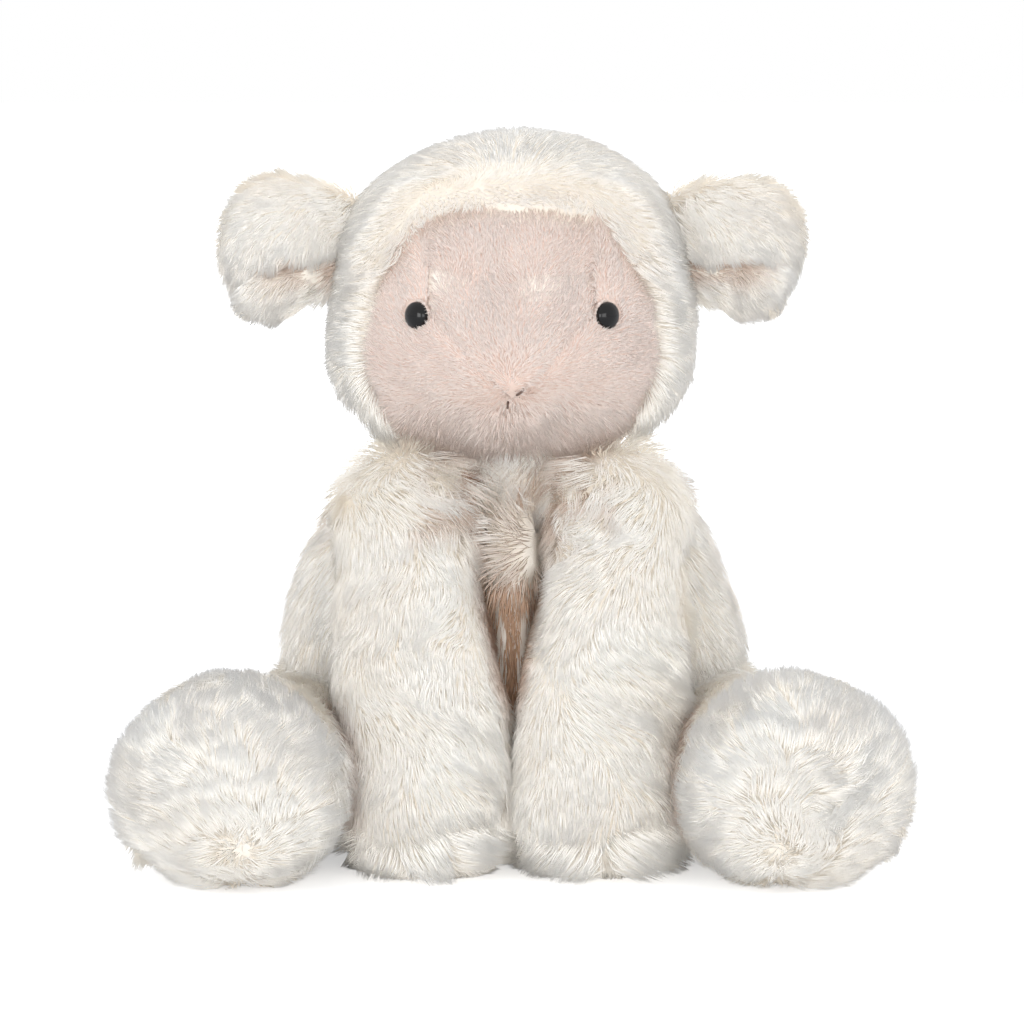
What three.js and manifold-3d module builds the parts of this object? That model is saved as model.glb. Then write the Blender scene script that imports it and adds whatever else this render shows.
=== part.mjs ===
// A sitting plush sheep: ivory long-pile covers over fibre stuffing, a short-pile pink face,
// folded ears, two hanging forelegs and two hind legs spread forwards with round soles.
// Millimetres, +Z up, front towards -Y, origin on the floor under the middle of the seat.
// Left and right are the sheep's own, so left lies towards +X.
import * as THREE from 'three';
import { mergeVertices } from 'three/addons/utils/BufferGeometryUtils.js';
import Module from 'manifold-3d';

const wasm = await Module();
wasm.setup();

// Clearances and plush thickness
const seatGap = 0.3;
const turnGap = 0.95;
const overrun = 400;
const pileWall = 8;
const faceWall = 5.5;
const faceSink = pileWall - faceWall;
const facetSlack = 0.6;

// Trunk, as heights above the floor and oval rings from the seat to the shoulders
const trunk = {
  seatHeight: 26,
  shoulderHeight: 112,
  seatBack: 5,
  shoulderForward: 9,
  width: 156,
  depth: 124,
  seatCap: 29,
  topCap: 16,
  sideSeamBack: 16,
  stationShares: [0, 0.17, 0.33, 0.5, 0.68, 0.85, 1],
  widthShares: [0.95, 0.99, 1, 0.98, 0.92, 0.845, 0.74],
  depthShares: [0.92, 0.97, 1, 0.98, 0.92, 0.83, 0.72],
};

// Firm ball of stuffing in the neck, on which the head turns and nods
const neck = {
  radius: 20,
  rise: 5,
  forward: 9,
};

// Head, as heights above the neck's centre
const head = {
  cheekRise: 34,
  crownRise: 58,
  forward: 12,
  crownBack: 3,
  width: 117,
  depth: 124,
  chinCap: 33,
  crownCap: 42,
  muzzleSwell: 8,
  muzzleWidth: 27,
  muzzleHeight: 24,
  muzzleRise: 26,
  stationShares: [0, 0.3, 0.65, 1],
  widthShares: [0.995, 1, 0.975, 0.94],
  depthShares: [1, 0.99, 0.96, 0.92],
};

// Outline of the pink face seen from the front, as shares of its half width and height
const face = {
  width: 94,
  height: 88,
  rise: 39,
  back: 15,
  outlineShares: [
    [0, 0.47], [0.25, 0.465], [0.47, 0.43], [0.7, 0.31], [0.9, 0.14], [1, -0.06],
    [0.97, -0.24], [0.85, -0.4], [0.62, -0.52], [0.3, -0.6], [0, -0.62],
  ],
};

// Middle panel of the face, from the nose up to the forehead
const gusset = {
  width: 54,
  browWidth: 45,
  noseRise: 20,
  browRise: 47,
};

// Domed eyes on shanks, each held by a washer behind the cloth
const eye = {
  spread: 30,
  rise: 45.5,
  splay: 42,
  radius: 4.5,
  dome: 3.2,
  rim: 0.8,
  domeShares: [[0.8, 0.6], [0.42, 0.92]],
  shankRadius: 1.6,
  shankLength: 15,
  washerRadius: 7,
  washerWall: 1.6,
  washerDepth: 9.5,
};

// Thread of the nose stitch
const stitch = {
  radius: 0.5,
  drop: 2.4,
  halfWidth: 2.4,
};

// Ears, folded lengthways, with the lining inside the fold
const ear = {
  rise: 64,
  back: 2,
  length: 16,
  rootLean: 19,
  rootWidth: 38,
  width: 45,
  rootDepth: 17,
  depth: 27,
  tipCap: 15,
  liningWidth: 25,
  liningDepth: 24,
  liningReach: 6,
  liningCap: 7,
  creaseWidth: 3,
  creaseDrop: 5,
};

// Forelegs, hanging from the shoulders to the floor in front
const foreleg = {
  shoulderSpread: 33,
  pawSpread: 26.8,
  shoulderDrop: 4,
  shoulderForward: 44,
  pawForward: 83,
  pawHeight: 27,
  width: 54,
  depth: 50,
  pawCap: 30,
  mouthRadius: 9,
  mouthShares: [1, 2, 1],
  stationShares: [0, 0.14, 0.32, 0.55, 0.8, 1],
  widthShares: [0.87, 0.875, 0.96, 1, 0.975, 0.965],
  depthShares: [1, 1, 1, 0.98, 0.97, 1.06],
};

// Hind legs, lying on the floor, with a round sole towards the front
const hindLeg = {
  hipSink: 14,
  hipBack: -12,
  hipHeight: 31.5,
  footSpread: 88,
  footForward: 104,
  rootWidth: 52,
  footWidth: 69,
  footHeight: 66,
  footCap: 27,
  soleStart: 6,
  mouthRadius: 9,
  mouthShares: [1, 1, 0],
  stationShares: [0, 0.12, 0.25, 0.45, 0.65, 0.82, 0.93, 1],
  widthShares: [0.754, 0.68, 0.66, 0.71, 0.81, 0.915, 0.975, 1],
  heightShares: [0.788, 0.72, 0.7, 0.75, 0.83, 0.93, 0.98, 1],
};

// Small tail sewn to the back panel
const tail = {
  height: 46,
  length: 14,
  drop: 11,
  rootDepth: 13,
  width: 26,
  depth: 20,
  tipCap: 13,
};

// Pellet bag in the seat
const pelletBag = {
  width: 56,
  depth: 50,
  height: 26,
  lift: 27,
  back: 12,
  wall: 1.2,
  mouthRadius: 4,
};

// Numbers of sides and rings
const outerDetail = { sides: 24, startRings: 4, endRings: 4 };
const limbDetail = { sides: 20, startRings: 5, endRings: 3 };
const innerDetail = { sides: 12, startRings: 2, endRings: 2 };
const smallDetail = { sides: 10, startRings: 2, endRings: 2 };
const ballDetail = { sides: 20, startRings: 5, endRings: 5 };
const wallDetail = { sides: 10, startRings: 2, endRings: 2 };
const turnedSides = 16;
const threadDetail = { steps: 6, curveSegments: 6 };
const capLeadShare = 0.35;
const roundPower = 2;
const boxyPower = 2.5;

const at = (x, y, z) => new THREE.Vector3(x, y, z);
const up = at(0, 0, 1);
const sides = { left: 1, right: -1 };

// A closed three.js geometry as a solid that can be joined and cut
function solidOf(geometry) {
  const bare = geometry.index ? geometry.toNonIndexed() : geometry.clone();
  bare.deleteAttribute('normal');
  bare.deleteAttribute('uv');
  const merged = mergeVertices(bare);
  const mesh = new wasm.Mesh({
    numProp: 3,
    vertProperties: new Float32Array(merged.attributes.position.array),
    triVerts: new Uint32Array(merged.index.array),
  });
  return new wasm.Manifold(mesh);
}

// The solid's faces as a three.js geometry
function geometryOf(solid) {
  const mesh = solid.getMesh();
  const geometry = new THREE.BufferGeometry();
  const points = new Float32Array(mesh.numVert * 3);
  for (let i = 0; i < mesh.numVert; i += 1) {
    for (let k = 0; k < 3; k += 1) {
      points[i * 3 + k] = mesh.vertProperties[i * mesh.numProp + k];
    }
  }
  geometry.setAttribute('position', new THREE.BufferAttribute(points, 3));
  geometry.setIndex(Array.from(mesh.triVerts));
  geometry.computeVertexNormals();
  return geometry;
}

// Straight-line value between the shares given at the stations
function shareAt(stationShares, valueShares, share) {
  const last = stationShares.length - 1;
  let i = 0;
  while (i < last - 1 && share > stationShares[i + 1]) {
    i += 1;
  }
  const part = (share - stationShares[i]) / (stationShares[i + 1] - stationShares[i]);
  return valueShares[i] + (valueShares[i + 1] - valueShares[i]) * part;
}

// A stuffed form: oval rings carried from start to end, closed by a rounded cap at each end.
// across is the direction of its width, and may turn towards acrossEnd on the way. grow moves
// every face outwards by the same length.
function formGeometry(form, grow = 0, detail = outerDetail) {
  const spine = form.end.clone().sub(form.start);
  const through = spine.clone().cross(form.across).normalize();
  const frameAt = (share) => {
    const across = form.across.clone().lerp(form.acrossEnd ?? form.across, share);
    const along = across.clone().cross(through).normalize();
    return { across: through.clone().cross(along), along };
  };
  const centreAt = (share) => form.start.clone().addScaledVector(spine, share);
  const capRings = (count, share, reach, power) => Array.from({ length: count }, (_, k) => {
    const angle = (Math.PI / 2) * (1 - (k + capLeadShare) / (count + capLeadShare));
    return {
      share,
      shift: reach * Math.sin(angle) ** (2 / power),
      scale: Math.cos(angle) ** (2 / power),
    };
  });
  const startReach = -(form.startCap + grow);
  const endReach = form.endCap + grow;
  const rings = [
    ...capRings(detail.startRings, 0, startReach, form.startPower ?? roundPower),
    ...form.stationShares.map((share) => ({ share, shift: 0, scale: 1 })),
    ...capRings(detail.endRings, 1, endReach, form.endPower ?? roundPower).reverse(),
  ];

  const points = [];
  const addPoint = (point) => {
    const placed = form.adjust ? form.adjust(point) : point;
    points.push(placed.x, placed.y, placed.z);
  };
  addPoint(centreAt(0).addScaledVector(frameAt(0).along, startReach));
  rings.forEach(({ share, shift, scale }) => {
    const { across, along } = frameAt(share);
    const widthShare = shareAt(form.stationShares, form.widthShares, share);
    const depthShare = shareAt(form.stationShares, form.depthShares, share);
    const halfWidth = ((form.width / 2) * widthShare + grow) * scale;
    const halfDepth = ((form.depth / 2) * depthShare + grow) * scale;
    const centre = centreAt(share).addScaledVector(along, shift);
    for (let j = 0; j < detail.sides; j += 1) {
      const angle = (2 * Math.PI * j) / detail.sides;
      const point = centre.clone();
      point.addScaledVector(across, halfWidth * Math.cos(angle));
      point.addScaledVector(through, halfDepth * Math.sin(angle));
      addPoint(point);
    }
  });
  addPoint(centreAt(1).addScaledVector(frameAt(1).along, endReach));

  const faces = [];
  const vertex = (ring, j) => 1 + ring * detail.sides + (j % detail.sides);
  const lastPoint = points.length / 3 - 1;
  for (let j = 0; j < detail.sides; j += 1) {
    faces.push(0, vertex(0, j + 1), vertex(0, j));
    for (let ring = 0; ring < rings.length - 1; ring += 1) {
      faces.push(vertex(ring, j), vertex(ring, j + 1), vertex(ring + 1, j + 1));
      faces.push(vertex(ring, j), vertex(ring + 1, j + 1), vertex(ring + 1, j));
    }
    faces.push(vertex(rings.length - 1, j), vertex(rings.length - 1, j + 1), lastPoint);
  }
  const geometry = new THREE.BufferGeometry();
  geometry.setAttribute('position', new THREE.BufferAttribute(new Float32Array(points), 3));
  geometry.setIndex(faces);
  return geometry;
}

const formSolid = (form, grow, detail) => solidOf(formGeometry(form, grow, detail));

// A round bar from a point along a direction, used as a hole
function barSolid(from, direction, radius, length) {
  const geometry = new THREE.CylinderGeometry(radius, radius, length, smallDetail.sides);
  geometry.translate(0, length / 2, 0);
  const turn = new THREE.Quaternion().setFromUnitVectors(at(0, 1, 0), direction.clone().normalize());
  geometry.applyQuaternion(turn);
  geometry.translate(from.x, from.y, from.z);
  return solidOf(geometry);
}

// Everything on the far side of a plane through a point
function beyondPlane(point, normal) {
  const geometry = new THREE.BoxGeometry(overrun, overrun, overrun);
  geometry.translate(0, 0, overrun / 2);
  const turn = new THREE.Quaternion().setFromUnitVectors(up, normal.clone().normalize());
  geometry.applyQuaternion(turn);
  geometry.translate(point.x, point.y, point.z);
  return solidOf(geometry);
}

const underFloor = beyondPlane(at(0, 0, 0), at(0, 0, -1));

// A profile turned about +Z, then laid along a direction from a point
function turnedSolid(profile, from, direction) {
  const corners = profile.map(([radius, height]) => new THREE.Vector2(radius, height));
  const geometry = new THREE.LatheGeometry(corners, turnedSides);
  const turn = new THREE.Quaternion().setFromUnitVectors(at(0, 1, 0), direction.clone().normalize());
  geometry.applyQuaternion(turn);
  geometry.translate(from.x, from.y, from.z);
  return solidOf(geometry);
}

// Forms of the trunk, neck and head
const trunkForm = {
  start: at(0, trunk.seatBack, trunk.seatHeight),
  end: at(0, -trunk.shoulderForward, trunk.shoulderHeight),
  across: at(1, 0, 0),
  width: trunk.width,
  depth: trunk.depth,
  startCap: trunk.seatCap,
  endCap: trunk.topCap,
  stationShares: trunk.stationShares,
  widthShares: trunk.widthShares,
  depthShares: trunk.depthShares,
};

const trunkTop = trunk.shoulderHeight + trunk.topCap;
const neckCentre = at(0, -trunk.shoulderForward - neck.forward, trunkTop + neck.rise);

const neckForm = {
  start: neckCentre.clone().addScaledVector(up, -seatGap / 2),
  end: neckCentre.clone().addScaledVector(up, seatGap / 2),
  across: at(1, 0, 0),
  width: 2 * neck.radius,
  depth: 2 * neck.radius,
  startCap: neck.radius,
  endCap: neck.radius,
  stationShares: [0, 1],
  widthShares: [1, 1],
  depthShares: [1, 1],
};

const headY = neckCentre.y - head.forward;
const muzzleZ = neckCentre.z + head.muzzleRise;

// The muzzle swells forwards as a smooth bump round the nose
function swellMuzzle(point) {
  if (point.y > headY) {
    return point;
  }
  const sideways = (point.x / head.muzzleWidth) ** 2;
  const upwards = ((point.z - muzzleZ) / head.muzzleHeight) ** 2;
  const forwards = Math.min(1, (2 * (headY - point.y)) / head.depth);
  point.y -= head.muzzleSwell * Math.exp(-sideways - upwards) * forwards;
  return point;
}

const headForm = {
  start: at(0, headY, neckCentre.z + head.cheekRise),
  end: at(0, headY + head.crownBack, neckCentre.z + head.crownRise),
  across: at(1, 0, 0),
  width: head.width,
  depth: head.depth,
  startCap: head.chinCap,
  endCap: head.crownCap,
  startPower: boxyPower,
  stationShares: head.stationShares,
  widthShares: head.widthShares,
  depthShares: head.depthShares,
  adjust: swellMuzzle,
};

// Half width of the crown at a height
function crownHalf(height) {
  const above = (height - headForm.end.z) / head.crownCap;
  return (head.width / 2) * head.widthShares.at(-1) * Math.sqrt(1 - above ** 2);
}

// Point on the front of the face cloth at a place across it and a height
const faceFront = formSolid(headForm, -faceSink, outerDetail);

function frontPoint(across, height) {
  const from = at(across, headY - head.depth, height);
  const touched = faceFront.intersect(barSolid(from, at(0, 1, 0), stitch.radius, head.depth));
  return at(across, touched.boundingBox().min[1], height);
}

// A flat outline, drawn as x and z, carried backwards and forwards as a cutting block
function blockSolid(outline, back) {
  const shape = new THREE.Shape(outline.map(([x, z]) => new THREE.Vector2(x, z)));
  const geometry = new THREE.ExtrudeGeometry(shape, { depth: overrun, bevelEnabled: false });
  geometry.rotateX(Math.PI / 2);
  geometry.translate(0, back, 0);
  return solidOf(geometry);
}

// Mirrored outline of the whole face, grown sideways and upwards by a gap
function faceBlock(grow) {
  const middle = neckCentre.z + face.rise;
  const half = face.outlineShares.map(([x, z]) => [
    x * (face.width / 2 + grow),
    middle + z * (face.height + 2 * grow),
  ]);
  const inner = half.slice(1, -1);
  const mirrored = inner.map(([x, z]) => [-x, z]).reverse();
  return blockSolid([...half, ...mirrored].reverse(), headY - face.back + grow);
}

// Outline of the middle panel: a point at the nose, wide at the brow, straight to the top
function gussetBlock(grow) {
  const nose = neckCentre.z + gusset.noseRise - grow;
  const brow = neckCentre.z + gusset.browRise;
  const top = neckCentre.z + overrun;
  const wide = gusset.width / 2 + grow;
  const narrow = gusset.browWidth / 2 + grow;
  const outline = [
    [0, nose], [wide, brow], [narrow, top], [-narrow, top], [-wide, brow],
  ];
  return blockSolid(outline, headY);
}

const headInner = () => formSolid(headForm, -pileWall, innerDetail);
const neckHole = (grow) => formSolid(neckForm, grow, ballDetail);

// Ears: a folded paddle that runs out sideways from the head
function earForm(side) {
  const height = neckCentre.z + ear.rise;
  const lean = THREE.MathUtils.degToRad(ear.rootLean);
  const seam = at(side * crownHalf(height), headY + head.crownBack + ear.back, height);
  const outwards = at(side * Math.cos(lean), 0, Math.sin(lean));
  const start = seam.addScaledVector(outwards, ear.rootDepth / 2 + seatGap - facetSlack);
  return {
    start,
    end: start.clone().add(at(side * ear.length, 0, 0)),
    across: at(-side * Math.sin(lean), 0, Math.cos(lean)),
    acrossEnd: up,
    width: ear.width,
    depth: ear.depth,
    startCap: ear.rootDepth / 2,
    endCap: ear.tipCap,
    stationShares: [0, 0.4, 0.75, 1],
    widthShares: [ear.rootWidth / ear.width, 0.96, 1, 0.98],
    depthShares: [ear.rootDepth / ear.depth, 0.9, 1, 0.97],
  };
}

// Space inside the fold for the lining, or for the crease when it is thin
function foldForm(side, width) {
  const outer = earForm(side);
  const forward = at(0, -ear.depth / 2, -ear.creaseDrop);
  const reach = at(side * ear.liningReach, 0, 0);
  return {
    start: outer.start.clone().add(forward).add(reach),
    end: outer.end.clone().add(forward),
    across: at(0, 0, 1),
    width,
    depth: ear.liningDepth,
    startCap: ear.liningCap,
    endCap: ear.liningCap,
    stationShares: [0, 1],
    widthShares: [1, 1],
    depthShares: [1, 1],
  };
}

function earBack(side) {
  const outer = formSolid(earForm(side), 0, limbDetail);
  return outer.subtract(formSolid(foldForm(side, ear.liningWidth), seatGap, smallDetail));
}

function earLining(side) {
  const outer = formSolid(earForm(side), 0, limbDetail);
  const layer = formSolid(foldForm(side, ear.liningWidth), 0, smallDetail).intersect(outer);
  const crease = { ...foldForm(side, ear.creaseWidth), depth: ear.liningDepth - ear.creaseDrop };
  return layer.subtract(formSolid(crease, 0, smallDetail));
}

// Eyes
function eyePlace(side) {
  const seat = frontPoint(side * eye.spread, neckCentre.z + eye.rise);
  const angle = THREE.MathUtils.degToRad(eye.splay);
  return { seat, outwards: at(side * Math.sin(angle), -Math.cos(angle), 0) };
}

function eyeSolid(side, grow = 0) {
  const { seat, outwards } = eyePlace(side);
  const profile = [
    [0, -eye.shankLength - grow],
    [eye.shankRadius + grow, -eye.shankLength - grow],
    [eye.shankRadius + grow, -grow],
    [eye.radius + grow, -grow],
    [eye.radius + grow, eye.rim],
    ...eye.domeShares.map(([width, height]) => [
      eye.radius * width + grow,
      eye.rim + (eye.dome - eye.rim) * height,
    ]),
    [0, eye.dome + grow],
  ];
  return turnedSolid(profile, seat, outwards);
}

function washerSolid(side, grow = 0) {
  const { seat, outwards } = eyePlace(side);
  const bore = eye.shankRadius + seatGap - grow;
  const low = -eye.washerDepth - eye.washerWall - grow;
  const high = -eye.washerDepth + grow;
  const rim = eye.washerRadius + grow;
  const ring = [[bore, low], [rim, low], [rim, high], [bore, high], [bore, low]];
  const filled = [[0, low], [rim, low], [rim, high], [0, high]];
  return turnedSolid(grow > 0 ? filled : ring, seat, outwards);
}

// Head covers and stuffing
function headCover() {
  const cover = formSolid(headForm, 0, outerDetail).subtract(headInner());
  return cover.subtract(faceBlock(seatGap)).subtract(neckHole(turnGap));
}

function faceShell() {
  let shell = faceFront.subtract(headInner());
  shell = shell.intersect(faceBlock(0));
  Object.values(sides).forEach((side) => {
    shell = shell.subtract(eyeSolid(side, seatGap)).subtract(washerSolid(side, seatGap));
  });
  return shell;
}

const faceGusset = () => faceShell().intersect(gussetBlock(0));

function cheekPanel(side) {
  const ownSide = beyondPlane(at(side * (seatGap / 2), 0, 0), at(side, 0, 0));
  return faceShell().subtract(gussetBlock(seatGap)).intersect(ownSide);
}

function headStuffing() {
  let stuffing = formSolid(headForm, -pileWall - seatGap, innerDetail);
  stuffing = stuffing.subtract(neckHole(turnGap));
  Object.values(sides).forEach((side) => {
    stuffing = stuffing.subtract(eyeSolid(side, seatGap)).subtract(washerSolid(side, seatGap));
  });
  return stuffing;
}

// A short stitch laid over the point where the three face panels meet
function noseStitch() {
  const corner = neckCentre.z + gusset.noseRise;
  const places = [
    [-stitch.halfWidth, corner - stitch.drop],
    [0, corner],
    [stitch.halfWidth, corner + stitch.drop],
  ];
  const lift = stitch.radius + seatGap;
  const points = places.map(([x, z]) => frontPoint(x, z).add(at(0, -lift, 0)));
  const path = new THREE.CatmullRomCurve3(points);
  const section = new THREE.Shape().absarc(0, 0, stitch.radius, 0, 2 * Math.PI);
  const options = { ...threadDetail, extrudePath: path, bevelEnabled: false };
  return solidOf(new THREE.ExtrudeGeometry(section, options));
}

// Forelegs
function forelegForm(side) {
  const shoulder = trunk.shoulderHeight - foreleg.shoulderDrop;
  return {
    start: at(side * foreleg.shoulderSpread, -foreleg.shoulderForward, shoulder),
    end: at(side * foreleg.pawSpread, -foreleg.pawForward, foreleg.pawHeight),
    across: at(1, 0, 0),
    width: foreleg.width,
    depth: foreleg.depth,
    startCap: foreleg.depth / 2,
    endCap: foreleg.pawCap,
    endPower: boxyPower,
    stationShares: foreleg.stationShares,
    widthShares: foreleg.widthShares,
    depthShares: foreleg.depthShares,
  };
}

// Hind legs
function hindLegForm(side) {
  const hipX = trunk.width / 2 - hindLeg.hipSink;
  const start = at(side * hipX, hindLeg.hipBack, hindLeg.hipHeight);
  const end = at(side * hindLeg.footSpread, -hindLeg.footForward, hindLeg.hipHeight);
  return {
    start,
    end,
    across: end.clone().sub(start).cross(up).multiplyScalar(-1).normalize(),
    width: hindLeg.footWidth,
    depth: hindLeg.footHeight,
    startCap: hindLeg.rootWidth / 2,
    endCap: hindLeg.footCap,
    endPower: boxyPower,
    stationShares: hindLeg.stationShares,
    widthShares: hindLeg.widthShares,
    depthShares: hindLeg.heightShares,
  };
}

// Way out of a limb's cover inwards to the trunk, where its open end is sewn on
function limbMouth(form, side, limb) {
  const [inwards, backwards, upwards] = limb.mouthShares;
  return barSolid(form.start, at(-side * inwards, backwards, upwards), limb.mouthRadius, form.depth);
}

function solePlane(side) {
  const form = hindLegForm(side);
  const along = form.end.clone().sub(form.start).normalize();
  return { point: form.end.clone().addScaledVector(along, hindLeg.soleStart), along };
}

function forelegCover(side) {
  const form = forelegForm(side);
  const shell = formSolid(form, 0, limbDetail).subtract(formSolid(form, -pileWall, innerDetail));
  return shell.subtract(limbMouth(form, side, foreleg)).subtract(underFloor);
}

function forelegStuffing(side) {
  return formSolid(forelegForm(side), -pileWall - seatGap, innerDetail);
}

function hindLegShell(side) {
  const form = hindLegForm(side);
  const shell = formSolid(form, 0, limbDetail).subtract(formSolid(form, -pileWall, innerDetail));
  return shell.subtract(underFloor).subtract(formSolid(forelegForm(side), turnGap, limbDetail));
}

function hindLegCover(side) {
  const { point, along } = solePlane(side);
  const mouth = limbMouth(hindLegForm(side), side, hindLeg);
  return hindLegShell(side).subtract(mouth).subtract(beyondPlane(point, along));
}

function hindSole(side) {
  const { point, along } = solePlane(side);
  const start = point.addScaledVector(along, seatGap);
  return hindLegShell(side).intersect(beyondPlane(start, along));
}

function hindLegStuffing(side) {
  return formSolid(hindLegForm(side), -pileWall - seatGap, innerDetail);
}

// Tail
function tailForm() {
  const share = (tail.height - trunk.seatHeight) / (trunk.shoulderHeight - trunk.seatHeight);
  const halfDepth = (trunk.depth / 2) * shareAt(trunk.stationShares, trunk.depthShares, share);
  const middle = trunk.seatBack - (trunk.seatBack + trunk.shoulderForward) * share;
  const rootY = middle + halfDepth + tail.rootDepth / 2 + seatGap - facetSlack;
  return {
    start: at(0, rootY, tail.height),
    end: at(0, rootY + tail.length, tail.height - tail.drop),
    across: at(1, 0, 0),
    width: tail.width,
    depth: tail.depth,
    startCap: tail.rootDepth / 2,
    endCap: tail.tipCap,
    stationShares: [0, 0.6, 1],
    widthShares: [tail.rootDepth / tail.width, 0.95, 1],
    depthShares: [tail.rootDepth / tail.depth, 0.95, 1],
  };
}

const tailCover = () => formSolid(tailForm(), 0, limbDetail);

// Room that the neck and the limbs take out of the trunk
function limbRoom(grow, detail) {
  let room = neckHole(grow);
  Object.values(sides).forEach((side) => {
    room = room.add(formSolid(forelegForm(side), grow, detail));
    room = room.add(formSolid(hindLegForm(side), grow, detail));
  });
  return room;
}

// Pellet bag and its fill
function pelletForm() {
  return {
    start: at(0, trunk.seatBack + pelletBag.back, pelletBag.lift),
    end: at(0, trunk.seatBack + pelletBag.back + seatGap, pelletBag.lift),
    across: at(1, 0, 0),
    width: pelletBag.width,
    depth: pelletBag.height,
    startCap: pelletBag.depth / 2,
    endCap: pelletBag.depth / 2,
    stationShares: [0, 1],
    widthShares: [1, 1],
    depthShares: [1, 1],
  };
}

function pelletBagCloth() {
  const form = pelletForm();
  const shell = formSolid(form, 0, innerDetail).subtract(formSolid(form, -pelletBag.wall, innerDetail));
  return shell.subtract(barSolid(form.start, up, pelletBag.mouthRadius, pelletBag.height));
}

const pellets = () => formSolid(pelletForm(), -pelletBag.wall - seatGap, innerDetail);

// Trunk covers and stuffing
function trunkShell() {
  const outer = formSolid(trunkForm, 0, outerDetail).subtract(limbRoom(turnGap, limbDetail));
  const walls = limbRoom(turnGap + pileWall, wallDetail);
  const inner = formSolid(trunkForm, -pileWall, innerDetail).subtract(walls);
  return outer.subtract(inner).subtract(underFloor);
}

function seamPlane(shift, direction) {
  return beyondPlane(at(0, trunk.sideSeamBack + shift, 0), at(0, direction, 0));
}

const bodyBack = () => trunkShell().intersect(seamPlane(seatGap / 2, 1));
const bodyBelly = () => trunkShell().intersect(seamPlane(-seatGap / 2, -1));

function bodyStuffing() {
  const grow = pileWall + seatGap;
  const form = formSolid(trunkForm, -grow, innerDetail);
  const walls = limbRoom(turnGap + grow, wallDetail);
  const bag = pelletForm();
  const opening = barSolid(bag.start, at(0, 0, -1), pelletBag.mouthRadius, trunk.shoulderHeight);
  return form.subtract(walls).subtract(formSolid(bag, seatGap, innerDetail)).subtract(opening);
}

// Finishes
const finish = (color, roughness, metalness = 0) => (
  new THREE.MeshStandardMaterial({ color, roughness, metalness })
);
const ivoryPlush = finish(0xeee9de, 0.9);
const pinkPlush = finish(0xe2cdc2, 0.9);
const fibre = finish(0xf4f3ef, 0.95);
const blackEye = finish(0x0b0b0d, 0.15);
const whiteWasher = finish(0xe6e6e2, 0.4);
const darkThread = finish(0x4a3a34, 0.8);
const bagCloth = finish(0xd9d4c8, 0.85);
const pelletFill = finish(0xc9ccd0, 0.5);

const sheep = new THREE.Group();

function addPiece(name, solid, material) {
  const mesh = new THREE.Mesh(geometryOf(solid), material);
  mesh.name = name;
  sheep.add(mesh);
}

addPiece('head_cover', headCover(), ivoryPlush);
addPiece('face_gusset', faceGusset(), pinkPlush);
addPiece('head_stuffing', headStuffing(), fibre);
addPiece('nose_stitch', noseStitch(), darkThread);
addPiece('neck_stuffing', formSolid(neckForm, 0, ballDetail), fibre);
addPiece('body_back', bodyBack(), ivoryPlush);
addPiece('body_belly', bodyBelly(), ivoryPlush);
addPiece('body_stuffing', bodyStuffing(), fibre);
addPiece('seat_pellet_bag', pelletBagCloth(), bagCloth);
addPiece('seat_pellets', pellets(), pelletFill);
addPiece('tail', tailCover(), ivoryPlush);

Object.entries(sides).forEach(([name, side]) => {
  addPiece(`${name}_cheek_panel`, cheekPanel(side), pinkPlush);
  addPiece(`${name}_eye`, eyeSolid(side), blackEye);
  addPiece(`${name}_eye_washer`, washerSolid(side), whiteWasher);
  addPiece(`${name}_ear_back`, earBack(side), ivoryPlush);
  addPiece(`${name}_ear_lining`, earLining(side), ivoryPlush);
  addPiece(`${name}_foreleg_cover`, forelegCover(side), ivoryPlush);
  addPiece(`${name}_foreleg_stuffing`, forelegStuffing(side), fibre);
  addPiece(`${name}_hind_leg_cover`, hindLegCover(side), ivoryPlush);
  addPiece(`${name}_hind_sole`, hindSole(side), ivoryPlush);
  addPiece(`${name}_hind_leg_stuffing`, hindLegStuffing(side), fibre);
});

export default sheep;
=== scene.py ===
# %% [markdown]
# A plush sheep, sitting on a table. The real toy is sewn from panels of long-pile cloth, turned
# right side out and filled with fibre. Its look comes from three layers: the cloth, which follows
# the stuffing, the pile, which stands on the cloth and leans over in locks, and the small hard or
# short-haired parts, which are the eyes, the pink face and the nose stitch.
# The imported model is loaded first. Every piece below is made in metres in the same frame.

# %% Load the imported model
import math
import bpy
import numpy as np
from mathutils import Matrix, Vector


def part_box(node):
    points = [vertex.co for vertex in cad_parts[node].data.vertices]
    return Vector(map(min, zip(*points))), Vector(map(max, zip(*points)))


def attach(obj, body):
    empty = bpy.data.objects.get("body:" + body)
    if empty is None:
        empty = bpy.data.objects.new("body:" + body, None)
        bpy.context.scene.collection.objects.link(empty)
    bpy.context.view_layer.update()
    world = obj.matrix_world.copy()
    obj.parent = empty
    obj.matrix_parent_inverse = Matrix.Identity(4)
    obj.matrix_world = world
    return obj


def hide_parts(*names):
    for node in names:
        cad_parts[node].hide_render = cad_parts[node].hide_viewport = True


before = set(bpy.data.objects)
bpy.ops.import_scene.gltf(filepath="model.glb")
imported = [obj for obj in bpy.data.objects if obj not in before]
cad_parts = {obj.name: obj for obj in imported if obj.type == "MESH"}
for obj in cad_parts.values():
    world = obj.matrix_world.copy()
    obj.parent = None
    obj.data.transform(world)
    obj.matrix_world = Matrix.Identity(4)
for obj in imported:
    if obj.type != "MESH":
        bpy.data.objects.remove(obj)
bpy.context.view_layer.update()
MM = 0.001
UP = np.array([0.0, 0.0, 1.0])
SIDES = {"left": 1.0, "right": -1.0}

# %% [markdown]
# Cloth is never quite even, so lengths, directions and tones drift a little over the toy. A sum of
# a few long sine waves gives such a drift: it is smooth, it repeats exactly on each run, and it
# needs no picture. Even, unordered places for the hairs come from a sequence that fills a square
# without clumps or holes, and any first part of it is even too, which the locks use later.

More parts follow.
